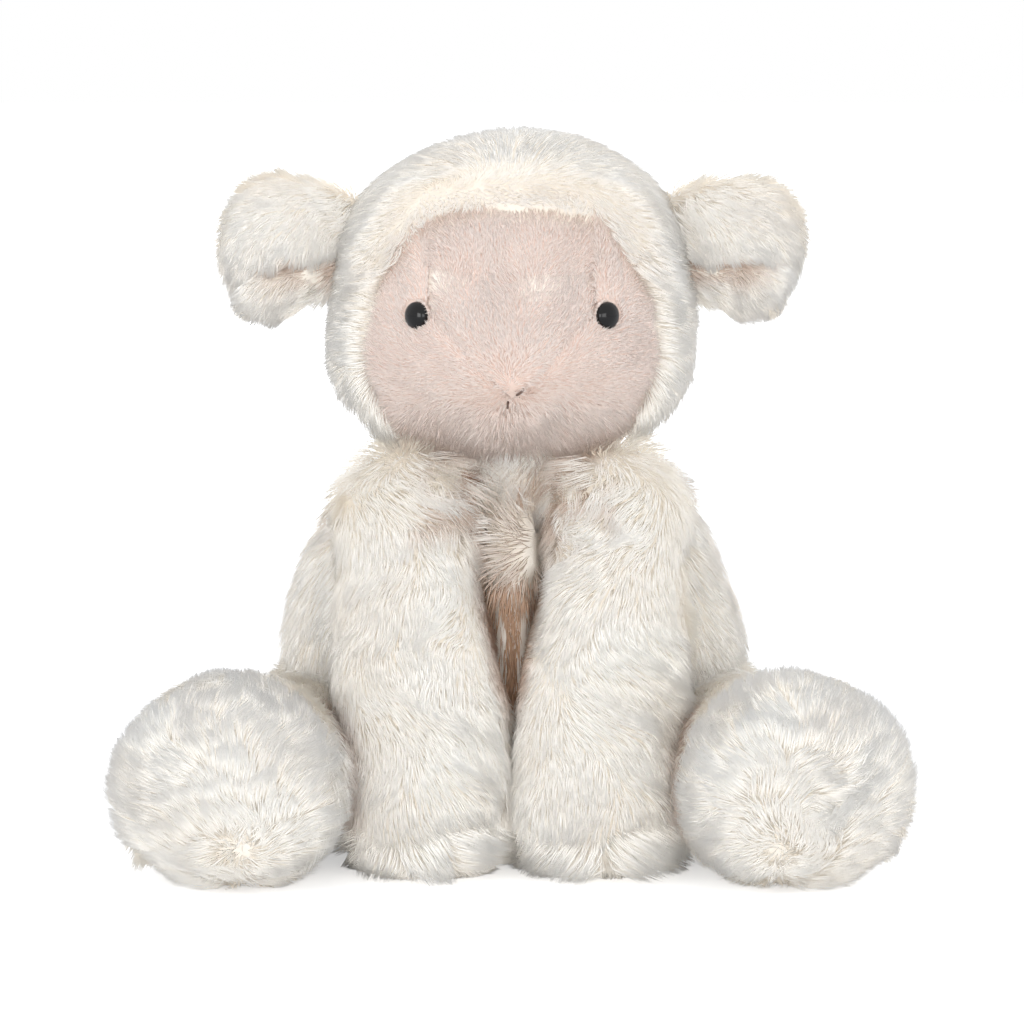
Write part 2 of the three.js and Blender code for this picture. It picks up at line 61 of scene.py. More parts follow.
# %% Drift, ramps, bells and even places
def unit(vectors):
    """Each row divided by its own length."""
    return vectors / np.maximum(np.linalg.norm(vectors, axis=-1, keepdims=True), 1e-12)


def dot(first, second):
    """The scalar product of each row with the same row of the other array."""
    return np.einsum("ij,ij->i", first, second)


def drift(points, wave, seed, count=6):
    """Sum of sine waves in random directions, scaled to about -1 to 1; wave is their length."""
    rng = np.random.default_rng(seed)
    ways = unit(rng.normal(size=(count, 3)))
    lengths = wave * rng.uniform(0.7, 1.5, count)
    starts = rng.uniform(0, 2 * np.pi, count)
    angles = (points @ ways.T) * (2 * np.pi / lengths) + starts
    return np.sin(angles).sum(axis=1) / math.sqrt(count * 0.8)


def ramp(value, start, end):
    """0 up to the start, 1 from the end on, straight between; the end may be the lower number."""
    return np.clip((value - start) / (end - start), 0, 1)


def bell(value, middle, width):
    """1 at the middle, falling off on both sides as exp(-((value - middle) / width) ** 2)."""
    return np.exp(-(((value - middle) / width) ** 2))


def in_mm(points):
    """The x, the y and the z of all points, in millimetres."""
    return np.moveaxis(points, -1, 0) / MM


def even_places(count, step=1.32471795724):
    """Two columns from 0 to 1: multiples of two irrational steps, without their whole part."""
    order = np.arange(1, count + 1)
    return np.stack([(order / step) % 1.0, (order / step ** 2) % 1.0], axis=1)


print("drift of one point", drift(np.zeros((1, 3)), 0.03, 1))

# %% [markdown]
# Every stuffed part of the toy is an oval bag: ovals are carried along a straight line, their width
# and depth change on the way, and each end closes in a rounded cap. One function holds that shape
# for the trunk, the head, the legs, the ears and the tail. The numbers are those of the packed
# model, so the cloth lands where the solids are.

# %% The oval bag
def oval_bag(start, end, width, depth, caps, stations=(0, 1), widths=(1, 1), depths=(1, 1),
             across=(1, 0, 0), **more):
    """The numbers of one bag, in millimetres, turned into metres and arrays."""
    start, end = np.array(start, float), np.array(end, float)
    bag = dict(
        start=start * MM, spine=(end - start) * MM, across=unit(np.array(across, float)),
        width=width * MM, depth=depth * MM, caps=(caps[0] * MM, caps[1] * MM), stations=stations,
        widths=widths, depths=depths, powers=(2.0, 2.0), across_end=None, bend=None,
    )
    return bag | more


def rounded_shares(stations, values, share):
    """Straight lines between the stations, averaged over a short window so that they turn smoothly."""
    fine = np.linspace(0, 1, 161)
    window = np.hanning(27)[1:-1]
    edge = len(window) // 2
    straight = np.pad(np.interp(fine, stations, values), edge, mode="edge")
    return np.interp(share, fine, np.convolve(straight, window / window.sum(), "valid"))


def half_sizes(bag, share, grow):
    """Half the width and half the depth of the bag's oval, for a surface moved outwards by grow."""
    return [bag[size] / 2 * rounded_shares(bag["stations"], bag[size + "s"], share) + grow
            for size in ("width", "depth")]


def bag_axes(bag, share):
    """The directions across, through and along the bag at a share of its length."""
    through = unit(np.cross(bag["spine"], bag["across"]))
    across = np.broadcast_to(bag["across"], share.shape + (3,))
    if bag["across_end"] is not None:
        across = across + (np.array(bag["across_end"]) - bag["across"]) * share[..., None]
    along = unit(np.cross(across, through))
    return np.cross(through, along), through, along


def bag_portions(bag):
    """How much of the way from pole to pole lies in the first cap, the sides and the last cap."""
    ring = (bag["width"] + bag["depth"]) / 4
    low, high = bag["caps"][0] + ring * bag["widths"][0], bag["caps"][1] + ring * bag["widths"][-1]
    parts = np.array([low, np.linalg.norm(bag["spine"]), high])
    return np.cumsum(parts / parts.sum())


def bag_point(bag, around, way, grow=0.0):
    """Point of the bag: around is a share of a turn, way a share from pole to pole.

    On the sides a ring of half sizes w and d is centred on the spine. On a cap the ring shrinks with
    the cosine of an angle and moves out with its sine, both to the power that rounds the cap.
    """
    first, second, _ = bag_portions(bag)
    share = ramp(way, first, second)
    low = np.clip(1 - way / first, 0, 1) * np.pi / 2
    high = ramp(way, second, 1) * np.pi / 2
    p, q = 2 / bag["powers"][0], 2 / bag["powers"][1]
    shift = (bag["caps"][1] + grow) * np.sin(high) ** q - (bag["caps"][0] + grow) * np.sin(low) ** p
    scale = np.cos(low) ** p * np.cos(high) ** q
    across, through, along = bag_axes(bag, share)
    half_width, half_depth = half_sizes(bag, share, grow)
    turn = 2 * np.pi * around
    point = bag["start"] + bag["spine"] * share[..., None] + along * shift[..., None]
    point = point + across * (half_width * scale * np.cos(turn))[..., None]
    point = point + through * (half_depth * scale * np.sin(turn))[..., None]
    return bag["bend"](point) if bag["bend"] else point


def bag_normal(bag, around, way, grow=0.0, step=0.002):
    """Outward direction: the cross product of two small steps on the surface."""
    way = np.clip(way, 2 * step, 1 - 2 * step)
    round_step = bag_point(bag, around + step, way, grow) - bag_point(bag, around - step, way, grow)
    way_step = bag_point(bag, around, way + step, grow) - bag_point(bag, around, way - step, grow)
    return unit(np.cross(round_step, way_step))


def bag_depth(bag, points, grow=0.0):
    """Below 1 inside the bag and above 1 outside: the oval's sum of squares, with the cap's own term."""
    across, through, along = bag_axes(bag, np.full(len(points), 0.5))
    spine_length = np.einsum("ij,j->i", along, bag["spine"])
    share = np.clip(dot(points - bag["start"], along) / spine_length, 0, 1)
    away = points - bag["start"] - bag["spine"] * share[:, None]
    half_width, half_depth = half_sizes(bag, share, grow)
    side = (dot(away, across) / half_width) ** 2
    side = side + (away @ through / half_depth) ** 2
    beyond = dot(away, along)
    cap = np.where(beyond < 0, bag["caps"][0], bag["caps"][1]) + grow
    return side + (np.abs(beyond) / cap) ** 2


# %% [markdown]
# The bags of this sheep. The head's front carries a smooth swelling, which is the muzzle.

# %% Bags of the trunk, head, ears, legs and tail
def swell_muzzle(points):
    """Moves points of the front forwards by a bell-shaped bump round the nose."""
    x, y, z = in_mm(points)
    moved = points.copy()
    moved[..., 1] -= 8 * MM * bell(x, 0, 27) * bell(z, 159, 24) * ramp(y, -30, -92)
    return moved


def fold_ear(points):
    """Presses a lengthways crease into the front of an ear, and lets the upper half hang over it."""
    x, y, z = in_mm(points)
    above = z - 194.7 + 0.3 * (np.abs(x) - 68) * (x < 0)
    front = ramp(y, -27, -36) * ramp(np.abs(x), 88, 78)
    moved = points.copy()
    moved[..., 1] += 8.5 * MM * bell(above, 0, 2.6) * front
    moved[..., 2] -= 2.5 * MM * bell(above, 3.5, 4) * front
    return moved


def ear_bag(side):
    """A paddle that runs out sideways from the head, narrow where it is sewn on."""
    lean = math.radians(19)
    return oval_bag(
        (side * 58.5, -25, 197.9), (side * 79.2, -25, 197.9), 43, 27, (8.5, 15), [0, 0.4, 0.75, 1],
        [0.85, 0.96, 1, 0.98], [0.63, 0.9, 1, 0.97],
        across=(-side * math.sin(lean), 0, math.cos(lean)), across_end=(0, 0, 1), bend=fold_ear,
    )


def foreleg_bag(side):
    """A tube that hangs from the shoulder and leans forwards to the paw."""
    return oval_bag(
        (side * 33, -44, 108), (side * 26.8, -83, 27), 54, 50, (25, 30), [0, 0.14, 0.32, 0.55, 0.8, 1],
        [0.87, 0.875, 0.96, 1, 0.975, 0.965], [1, 1, 1, 0.98, 0.97, 1.06], powers=(2.0, 2.5),
    )


def hind_leg_bag(side):
    """A tube on the floor that widens from the hip to the round sole."""
    start, end = np.array([side * 64, -12, 31.5]), np.array([side * 88, -104, 31.5])
    return oval_bag(
        start, end, 69, 66, (26, 27), [0, 0.12, 0.25, 0.45, 0.65, 0.82, 0.93, 1],
        [0.754, 0.68, 0.66, 0.71, 0.81, 0.915, 0.975, 1],
        [0.788, 0.72, 0.7, 0.75, 0.83, 0.93, 0.98, 1],
        across=np.cross(UP, end - start), powers=(2.0, 2.5),
    )


trunk = oval_bag(
    (0, 5, 26), (0, -9, 112), 156, 124, (29, 16), [0, 0.17, 0.33, 0.5, 0.68, 0.85, 1],
    [0.95, 0.99, 1, 0.98, 0.92, 0.845, 0.74], [0.92, 0.97, 1, 0.98, 0.92, 0.83, 0.72],
)
head = oval_bag(
    (0, -30, 167), (0, -27, 191), 117, 124, (33, 42), [0, 0.3, 0.65, 1], [0.995, 1, 0.975, 0.94],
    [1, 0.99, 0.96, 0.92], powers=(2.5, 2.0), bend=swell_muzzle,
)
neck = oval_bag((0, -18, 132.9), (0, -18, 133.1), 40, 40, (20, 20))
tail = oval_bag(
    (0, 68.8, 46), (0, 82.8, 35), 26, 20, (6.5, 13), [0, 0.6, 1], [0.5, 0.95, 1], [0.65, 0.95, 1])
ears, forelegs, hind_legs = (
    {name: make(side) for name, side in SIDES.items()} for make in (ear_bag, foreleg_bag, hind_leg_bag))
print("crown at", bag_point(head, np.array([0.0]), np.array([1.0]))[0] / MM)

# %% [markdown]
# The materials. A small class wraps a socket, so that a pattern reads as a sum or a product, and
# each operator adds the Math node that it stands for.

# %% Nodes as expressions
class Value:
    """A number that comes out of a node, with the operators that build more nodes."""

    def __init__(self, maker, socket):
        self.maker, self.socket = maker, socket

    def _join(self, operation, first, second):
        return self.maker.add("ShaderNodeMath", dict(operation=operation), {0: first, 1: second})

    def __add__(self, other):
        return self._join("ADD", self, other)

    def __mul__(self, other):
        return self._join("MULTIPLY", self, other)

    def __pow__(self, other):
        return self._join("POWER", self, other)

    def __rpow__(self, other):
        return self._join("POWER", other, self)

    __radd__, __rmul__ = __add__, __mul__


class Nodes:
    """A tree of shader nodes, with methods that add nodes and return their values."""

    def __init__(self, tree):
        self.tree = tree

    def put(self, socket, value):
        """Sets an input to a constant, or links it to another node's value."""
        if isinstance(value, Value):
            self.tree.links.new(value.socket, socket)
        elif isinstance(value, tuple) and len(value) == 3 and socket.type == "RGBA":
            socket.default_value = (*value, 1.0)
        else:
            socket.default_value = value

    def add(self, kind, settings=None, inputs=None, output=0):
        """Adds a node, sets it, fills its inputs and returns one of its outputs."""
        node = self.tree.nodes.new(kind)
        for key, value in (settings or {}).items():
            setattr(node, key, value)
        for key, value in (inputs or {}).items():
            self.put(node.inputs[key], value)
        return Value(self, node.outputs[output])

    def stored(self, name):
        """A number stored on the mesh's points or faces."""
        return self.add("ShaderNodeAttribute", dict(attribute_name=name), output="Fac")

    def blend(self, share, low, high):
        """A colour between two colours."""
        return self.add("ShaderNodeMix", dict(data_type="RGBA"), {0: share, 6: low, 7: high}, output=2)

    def noise(self, scale, detail=3.0, rough=0.5):
        """Even noise on object coordinates."""
        place = self.add("ShaderNodeTexCoord", output="Object")
        inputs = {"Vector": place, "Scale": scale, "Detail": detail, "Roughness": rough}
        return self.add("ShaderNodeTexNoise", None, inputs)


class Finish(Nodes):
    """One material with a Principled shader."""

    def __init__(self, name, **constants):
        self.material = bpy.data.materials.new(name)
        self.material.use_nodes = True
        super().__init__(self.material.node_tree)
        self.shader = self.tree.nodes["Principled BSDF"]
        for socket, value in constants.items():
            self.feed(socket.replace("_", " "), value)

    def feed(self, socket, value):
        """Sets or links one of the shader's own inputs."""
        self.put(self.shader.inputs[socket], value)

    def bump(self, height, distance):
        """Relief from a height."""
        inputs = {"Strength": 0.6, "Distance": distance, "Height": height}
        self.feed("Normal", self.add("ShaderNodeBump", None, inputs))


def tone(red, green, blue):
    """A colour given as it looks on the screen, in 0 to 255, as the linear values that a node takes."""
    shares = np.array([red, green, blue]) / 255
    linear = np.where(shares < 0.04045, shares / 12.92, ((shares + 0.055) / 1.055) ** 2.4)
    return tuple(linear.tolist())


print("ivory as linear", tone(240, 236, 228))

# %% [markdown]
# The ivory pile is silky acrylic. Each hair is pale along most of its length, and painted shade makes it
# a little warmer and darker at the root, deep in the pile. A few locks are creamier than others, and a
# warm-brown painted shade lies in folds, gaps and where parts meet. Those tones ride on the hairs as
# stored numbers, so they stay put when a limb moves. The lower sides of the hairs also let light through,
# as thin fibres do.
# Cloth, thread, fibre, the pellets and the washers need no more than two tones and a relief from one
# noise. Only the eyes are glossy, because they are polished plastic.

# %% Finishes
def pile_finish(name, root_shade, low, high, deep, through=0.8):
    """Painted shade at the root below, then a tone between two creams for each lock, and a warm painted
    shade in folds, gaps and where parts meet.
    """
    finish = Finish(name, Roughness=0.8, Specular_IOR_Level=0.0)
    lock = finish.blend(finish.stored("cream"), tone(*low), tone(*high))
    colour = finish.blend(finish.stored("height") ** 0.5, tone(*root_shade), lock)
    colour = finish.blend(finish.stored("painted_shade"), colour, tone(*deep))
    finish.feed("Base Color", colour)
    glow = finish.add("ShaderNodeBsdfTranslucent", None, {"Color": colour})
    shader = Value(finish, finish.shader.outputs[0])
    inputs = {0: finish.stored("lower") * through, 1: shader, 2: glow}
    both = finish.add("ShaderNodeMixShader", None, inputs)
    finish.put(finish.tree.nodes["Material Output"].inputs["Surface"], both)
    return finish.material


def grain_finish(name, low, high, scale, rough, depth, detail=3.0, fine=0.5, **constants):
    """Two tones and a relief from one noise."""
    finish = Finish(name, Roughness=rough, **constants)
    grain = finish.noise(scale, detail, fine)
    finish.feed("Base Color", finish.blend(grain, tone(*low), tone(*high)))
    finish.bump(grain, depth)
    return finish.material


def cloth_finish(name, low, high, size):
    """Knitted backing with the stubs of the pile."""
    return grain_finish(name, low, high, 1 / size, 0.95, 0.4 * MM, 4.0, 0.7, Specular_IOR_Level=0.1)


def eye_finish():
    """Black plastic with faint scuffs in its gloss."""
    finish = Finish("eye_black", Coat_Weight=0.2, Coat_Roughness=0.03, Specular_IOR_Level=0.25)
    scuffs = finish.noise(900.0, 2.0)
    finish.feed("Base Color", finish.blend(scuffs, tone(9, 9, 10), tone(18, 17, 18)))
    finish.feed("Roughness", scuffs * 0.06 + 0.1)
    return finish.material


eye_black = eye_finish()
# In each pile finish the first tone is painted shade at the hair's root, and the last is painted warm
# shade for deep places.
ivory_pile = pile_finish("ivory_pile", (249, 243, 234), (250, 247, 242), (253, 252, 249), (184, 142, 108))
pink_pile = pile_finish("pink_pile", (238, 222, 213), (243, 230, 223), (247, 237, 231), (214, 184, 170))
ivory_cloth = cloth_finish("ivory_cloth", (244, 237, 226), (250, 245, 237), 0.9 * MM)
pink_cloth = cloth_finish("pink_cloth", (226, 203, 191), (240, 221, 211), 0.6 * MM)
nose_thread = grain_finish("nose_thread", (76, 60, 53), (122, 100, 90), 3000.0, 0.8, 0.1 * MM)
fibre = grain_finish("fibre", (236, 234, 228), (250, 249, 246), 260.0, 0.95, 1.5 * MM)
washer_white = grain_finish("washer_white", (222, 222, 216), (236, 236, 232), 700.0, 0.45, 0.05 * MM)
bag_weave = grain_finish("bag_weave", (205, 198, 184), (226, 221, 210), 1500.0, 0.85, 0.2 * MM)
pellet_grey = grain_finish("pellet_grey", (190, 194, 198), (214, 217, 220), 500.0, 0.4, 0.05 * MM)

# %% [markdown]
# Meshes. A closed bag of cloth is a stack of rings between two poles, and a panel is an outer and
# an inner sheet joined round the rim, so both are closed bodies. Thousands of points go in at once.

# %% Mesh from arrays
def mesh_piece(name, points, faces, material, body, stored=None, sheet=None):
    """A mesh object from an array of points and one of triangles, riding on a body."""
    mesh = bpy.data.meshes.new(name)
    mesh.vertices.add(len(points))
    mesh.vertices.foreach_set("co", np.ascontiguousarray(points, np.float32).ravel())
    mesh.loops.add(faces.size)
    mesh.loops.foreach_set("vertex_index", np.ascontiguousarray(faces, np.int32).ravel())
    mesh.polygons.add(len(faces))
    mesh.polygons.foreach_set("loop_start", np.arange(0, faces.size, 3, dtype=np.int32))
    mesh.polygons.foreach_set("use_smooth", np.ones(len(faces), bool))
    for key, values in (stored or {}).items():
        attribute = mesh.attributes.new(key, "FLOAT", "POINT")
        attribute.data.foreach_set("value", np.ascontiguousarray(values, np.float32))
    if sheet is not None:
        layer = mesh.uv_layers.new(name="OFBake")
        layer.uv.foreach_set("vector", np.ascontiguousarray(sheet, np.float32).ravel())
    mesh.update(calc_edges=True)
    mesh.validate()
    mesh.materials.append(material)
    piece = bpy.data.objects.new(name, mesh)
    bpy.context.scene.collection.objects.link(piece)
    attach(piece, body)
    return piece


def ring_faces(rows, columns, closed=True):
    """Quads between neighbouring rows of a grid; a closed grid joins its last column to its first."""
    last = columns if closed else columns - 1
    row, column = np.meshgrid(np.arange(rows - 1), np.arange(last), indexing="ij")
    after = (column + 1) % columns
    a, b = row * columns + column, row * columns + after
    return np.stack([a, b, b + columns, a + columns], axis=-1).reshape(-1, 4)


def as_triangles(quads):
    """Each quad cut along a diagonal."""
    return np.concatenate([quads[:, [0, 1, 2]], quads[:, [0, 2, 3]]])


def bag_mesh(grid):
    """Points and triangles of a closed stack of rings, with a pole at each end."""
    rows, columns = grid.shape[:2]
    points = np.concatenate([grid.reshape(-1, 3), [grid[0].mean(axis=0)], [grid[-1].mean(axis=0)]])
    ring = np.arange(columns)
    after = (ring + 1) % columns
    first = np.stack([np.full(columns, rows * columns), after, ring], axis=1)
    base = (rows - 1) * columns
    last = np.stack([np.full(columns, rows * columns + 1), base + ring, base + after], axis=1)
    return points, np.concatenate([as_triangles(ring_faces(rows, columns)), first, last])


def panel_mesh(outer, inner):
    """Points and triangles of two sheets of the same grid, joined round their rim."""
    rows, columns = outer.shape[:2]
    count = rows * columns
    front = ring_faces(rows, columns, closed=False)
    index = np.arange(count).reshape(rows, columns)
    rim = np.concatenate([index[0, :-1], index[:-1, -1], index[-1, :0:-1], index[:0:-1, 0]])
    after = np.roll(rim, -1)
    edge = np.stack([after, rim, rim + count, after + count], axis=1)
    quads = np.concatenate([front, front[:, ::-1] + count, edge])
    return np.concatenate([outer.reshape(-1, 3), inner.reshape(-1, 3)]), as_triangles(quads)


def crisp_rim(piece, triangles):
    """Shades the rim of a panel flat, so that its two sheets stay smooth up to their edge."""
    outer = triangles < triangles.max() // 2 + 1
    rim = outer.any(axis=1) & ~outer.all(axis=1)
    piece.data.polygons.foreach_set("use_smooth", ~rim)


def signed_volume(points, triangles):
    """Six times the volume inside the triangles, below 0 where they face inwards."""
    a, b, c = (points[triangles[:, k]] for k in range(3))
    return dot(a, np.cross(b, c)).sum()


def outwards(points, triangles):
    """Turns every face round where the body's signed volume comes out negative."""
    return triangles if signed_volume(points, triangles) > 0 else triangles[:, ::-1]


def closed_piece(name, mesh, material, body, node):
    points, triangles = mesh
    piece = mesh_piece(name, points, outwards(points, triangles), material, body)
    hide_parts(node)
    return piece


print("panel corners", panel_mesh(np.zeros((3, 4, 3)), np.zeros((3, 4, 3)))[0].shape)

# %% [markdown]
# Cloth skins. The cloth lies a little under the mean surface of the pile. Where two bags press on
# each other the cloth gives way, as on the real toy at the shoulders and hips, so points of a skin
# that would lie inside a neighbour are moved inwards until they are clear.

# %% Cloth that gives way to its neighbours
CLOTH = -1.1 * MM
FLOOR_GAP = 0.4 * MM
PRESS_GAP = 1.2 * MM


def pressed(points, inwards, neighbours, gap, step=0.8 * MM, steps=45):
    """Moves points along a direction, step by step, while any neighbouring bag still holds them."""
    points = points.copy()
    moving = np.ones(len(points), bool)
    for _ in range(steps):
        held = np.zeros(len(points), bool)
        for bag, grow in neighbours:
            held[moving] |= bag_depth(bag, points[moving], grow + gap) < 1
        moving &= held
        if not moving.any():
            break
        points[moving] += inwards[moving] * step
    return points


def lumpy(bag, around, way, grow, lumps, wave, seed):
    """Points of the bag's surface, moved by the cloth's lumps, and the outward directions."""
    points = bag_point(bag, around, way, grow).reshape(-1, 3)
    normals = bag_normal(bag, around, way, grow).reshape(-1, 3)
    return points + normals * (lumps * MM * drift(points, wave, seed))[:, None], normals


def cloth_grid(bag, rows, columns, grow, neighbours=(), first=0.0, last=1.0, lumps=0.7, seed=1):
    """Rings of the bag's surface between two shares of the way, lumpy, above the floor, and pressed."""
    way = first + (last - first) * (np.arange(rows) + 0.5) / rows
    way, around = np.meshgrid(way, np.arange(columns) / columns, indexing="ij")
    points, normals = lumpy(bag, around, way, grow, lumps, 0.03, seed)
    if neighbours:
        points = pressed(points, -normals, neighbours, PRESS_GAP)
    points[:, 2] = np.maximum(points[:, 2], FLOOR_GAP)
    return points.reshape(rows, columns, 3)


trunk_neighbours = [(bag, 0.0) for bag in (*forelegs.values(), *hind_legs.values(), neck)]
print("bags that press on the trunk", len(trunk_neighbours))

# %% [markdown]
# The pile. On the cloth the hairs stand close, and each leans the way it was brushed. Tips of
# neighbours stick together in locks, and locks in larger tufts. A hair's path starts steeply and
# bends over towards the brushing direction. Every lock and every tuft has a leading hair, and the
# others in its reach are drawn towards it, more and more towards the tip.

# %% Roots spread evenly over a sheet of cloth
HAIR_FLOOR = 1.2 * MM


def bag_sheet(bag, grow=CLOTH, first=0.0, last=1.0, rows=160, columns=96):
    """The bag's surface as a grid with one more row and column than it has cells."""
    around, way = np.meshgrid(np.linspace(0, 1, columns + 1), np.linspace(first, last, rows + 1))
    return bag_point(bag, around, way, grow)


def spread_roots(grid, count, lumps=0.0, wave=0.03, seed=1):
    """Roots and normals in proportion to area: even places carried through the running sum of the area.

    The cloth's lumps are added last, so that roots stay on the cloth.
    """
    rows, columns = grid.shape[0] - 1, grid.shape[1] - 1
    down, right = grid[1:, :-1] - grid[:-1, :-1], grid[:-1, 1:] - grid[:-1, :-1]
    area = np.linalg.norm(np.cross(down, right), axis=2) + 1e-12
    places = even_places(count)
    row_sum = np.cumsum(area.sum(axis=1))
    row_share = places[:, 0] * row_sum[-1]
    row = np.clip(np.searchsorted(row_sum, row_share), 0, rows - 1)
    before = np.where(row > 0, row_sum[row - 1], 0)
    row_part = (row_share - before) / area.sum(axis=1)[row]
    running = np.cumsum(area, axis=1) / area.sum(axis=1)[:, None] + np.arange(rows)[:, None]
    wanted = row + places[:, 1]
    cell = np.clip(np.searchsorted(running.ravel(), wanted), row * columns, row * columns + columns - 1)
    column = cell - row * columns
    low = np.where(column > 0, running[row, column - 1], row)
    column_part = (wanted - low) / np.maximum(running[row, column] - low, 1e-12)
    u, v = column_part[:, None], row_part[:, None]

    def between(values):
        near = values[row, column] * (1 - u) + values[row, column + 1] * u
        far = values[row + 1, column] * (1 - u) + values[row + 1, column + 1] * u
        return near * (1 - v) + far * v

    facing = np.cross(np.gradient(grid, axis=1), np.gradient(grid, axis=0))
    points, normals = between(grid), unit(between(facing))
    away = points - grid.reshape(-1, 3).mean(axis=0)
    normals = normals if dot(away, normals).sum() > 0 else -normals
    return points + normals * (lumps * MM * drift(points, wave, seed))[:, None], normals


def free_roots(sheet, count, bags, lumps=0.0, seed=1):
    """Roots and normals outside other bags, each moved outwards by a reach, and above the floor."""
    roots, normals = spread_roots(sheet, count, lumps, seed=seed)
    free = roots[:, 2] > HAIR_FLOOR
    for bag, reach in bags:
        free &= bag_depth(bag, roots, reach * MM) > 1
    return roots[free], normals[free]


def nearest(points, leaders, block=4000):
    """Index of the nearest leader for every point, by squared distances in blocks."""
    squares = (leaders ** 2).sum(axis=1)
    return np.concatenate([np.argmin(squares - 2 * points[begin:begin + block] @ leaders.T, axis=1)
                           for begin in range(0, len(points), block)])


def flattened(direction, normals):
    """The part of a direction that lies in the cloth."""
    return unit(direction - normals * dot(direction, normals)[:, None])


def turned(direction, normals, angle):
    """A direction in the cloth turned about the normal by an angle in radians."""
    return direction * np.cos(angle)[:, None] + np.cross(normals, direction) * np.sin(angle)[:, None]


# %% [markdown]
# A hair is a slim spindle of six triangles: a pointed root, three corners round its middle and a
# pointed tip. All spindles of a piece are made together: their paths form one array with a row for
# each hair, and the faces of one spindle are repeated with a shift of its points. Each also gets a
# small square of a flat sheet for baking.

# %% Spindles along paths
MIDDLE = 0.45
FLATNESS = 0.2
LOWEST_HAIR = 0.15 * MM
FACES = np.array([[0, 2, 1], [0, 3, 2], [0, 1, 3], [1, 2, 4], [2, 3, 4], [3, 1, 4]])
LOWER_FACES = np.array([1.0, 0, 0, 1, 0, 0])
SHEET = np.array([
    [(0.17, 0), (0.33, 0.5), (0, 0.5)], [(0.5, 0), (0.67, 0.5), (0.33, 0.5)],
    [(0.83, 0), (1, 0.5), (0.67, 0.5)], [(0, 0.5), (0.33, 0.5), (0.17, 1)],
    [(0.33, 0.5), (0.67, 0.5), (0.5, 1)], [(0.67, 0.5), (1, 0.5), (0.83, 1)],
])


def spindles(name, paths, normals, width, cream, painted_shade, material, body):
    """A mesh of spindles on paths of root, middle and tip, wide along the cloth and low above it.

    Thin fibres let light through and hardly shade each other, so the cloth below casts the shadows.
    """
    count = len(paths)
    run = unit(paths[:, 2] - paths[:, 0])
    side = unit(np.cross(normals, run)) * (width / 2)[:, None]
    top = unit(np.cross(run, side)) * (width * FLATNESS)[:, None]
    middle = paths[:, 1]
    points = np.stack([paths[:, 0], middle + side, middle - side, middle + top, paths[:, 2]], axis=1)
    points[..., 2] = np.maximum(points[..., 2], LOWEST_HAIR)
    turn = slice(None) if signed_volume(points[0] - points[0, 0], FACES) > 0 else slice(None, None, -1)
    faces = (FACES[None, :, turn] + np.arange(count)[:, None, None] * 5).reshape(-1, 3)
    cells = math.ceil(math.sqrt(count))
    corner = np.stack([np.arange(count) % cells, np.arange(count) // cells], axis=1)
    sheet = (corner[:, None, None] + 0.08 + SHEET[None, :, turn] * 0.84) / cells
    # Stored for each point: its place along the hair, the lock's cream, and the painted shade.
    stored = {
        "height": np.tile([0, MIDDLE, MIDDLE, MIDDLE, 1], count),
        "cream": np.repeat(np.clip(cream, 0, 1), 5),
        "painted_shade": np.repeat(np.clip(painted_shade, 0, 1), 5),
    }
    piece = mesh_piece(name, points.reshape(-1, 3), faces, material, body, stored, sheet.reshape(-1, 2))
    lower = piece.data.attributes.new("lower", "FLOAT", "FACE")
    lower.data.foreach_set("value", np.tile(LOWER_FACES, count).astype(np.float32))
    piece.data.polygons.foreach_set("use_smooth", np.tile(LOWER_FACES, count) < 0.5)
    piece.visible_shadow = False
    return piece


print("faces of a spindle", len(FACES))

# %% [markdown]
# One lock of real pile is a few millimetres wide. Each piece of pile is told how long its hairs
# are, how steeply they leave the cloth and how flat their tips lie, how many share a lock or a tuft,
# how strongly those are drawn together, and how untidy they are.

# %% Hair paths
ROOT_DEPTH = 0.7 * MM
CURL = 0.05
SWAY_TURN = 2.6


def hair_paths(roots, normals, comb, length, seed, rise=(28, 6), droop=0.05, lock=22, pull=0.34,
               tuft=170, draw=0.16, mess=0.14):
    """Paths that leave the cloth at one angle and end at another, gathered into locks.

    The direction turns evenly from the first to the last, so the path is its running sum: the first
    direction times t - t*t/2, plus the last times t*t/2. The side sway is a sine that grows to the tip.
    """
    rng = np.random.default_rng(seed)
    count = len(roots)
    comb = turned(comb, normals, mess * rng.normal(size=count))
    first, last = (np.radians(angle) + np.zeros(count) for angle in rise)
    first = first + (0.03 + 0.64 * mess) * rng.normal(size=count)
    leave = normals * np.sin(first)[:, None] + comb * np.cos(first)[:, None]
    sink = UP * np.broadcast_to(droop, count)[:, None]
    arrive = unit(normals * np.sin(last)[:, None] + comb * np.cos(last)[:, None] - sink)
    t = np.array([0, MIDDLE, 1])[None, :, None]
    length = (length * rng.uniform(0.82, 1.12, count))[:, None, None]
    paths = roots[:, None] + length * (leave[:, None] * (t - t * t / 2) + arrive[:, None] * (t * t / 2))
    sway = np.sin(rng.uniform(0, 2 * np.pi, count)[:, None, None] + SWAY_TURN * t)
    paths = paths + np.cross(normals, comb)[:, None] * length * CURL * sway * t
    for reach, strength in ((lock, pull), (tuft, draw)):
        owner = nearest(roots, roots[:max(4, count // reach)])
        strength = np.broadcast_to(strength, count)[:, None, None]
        paths = paths + strength * t ** 1.3 * (paths[owner] - paths)
    return paths, owner


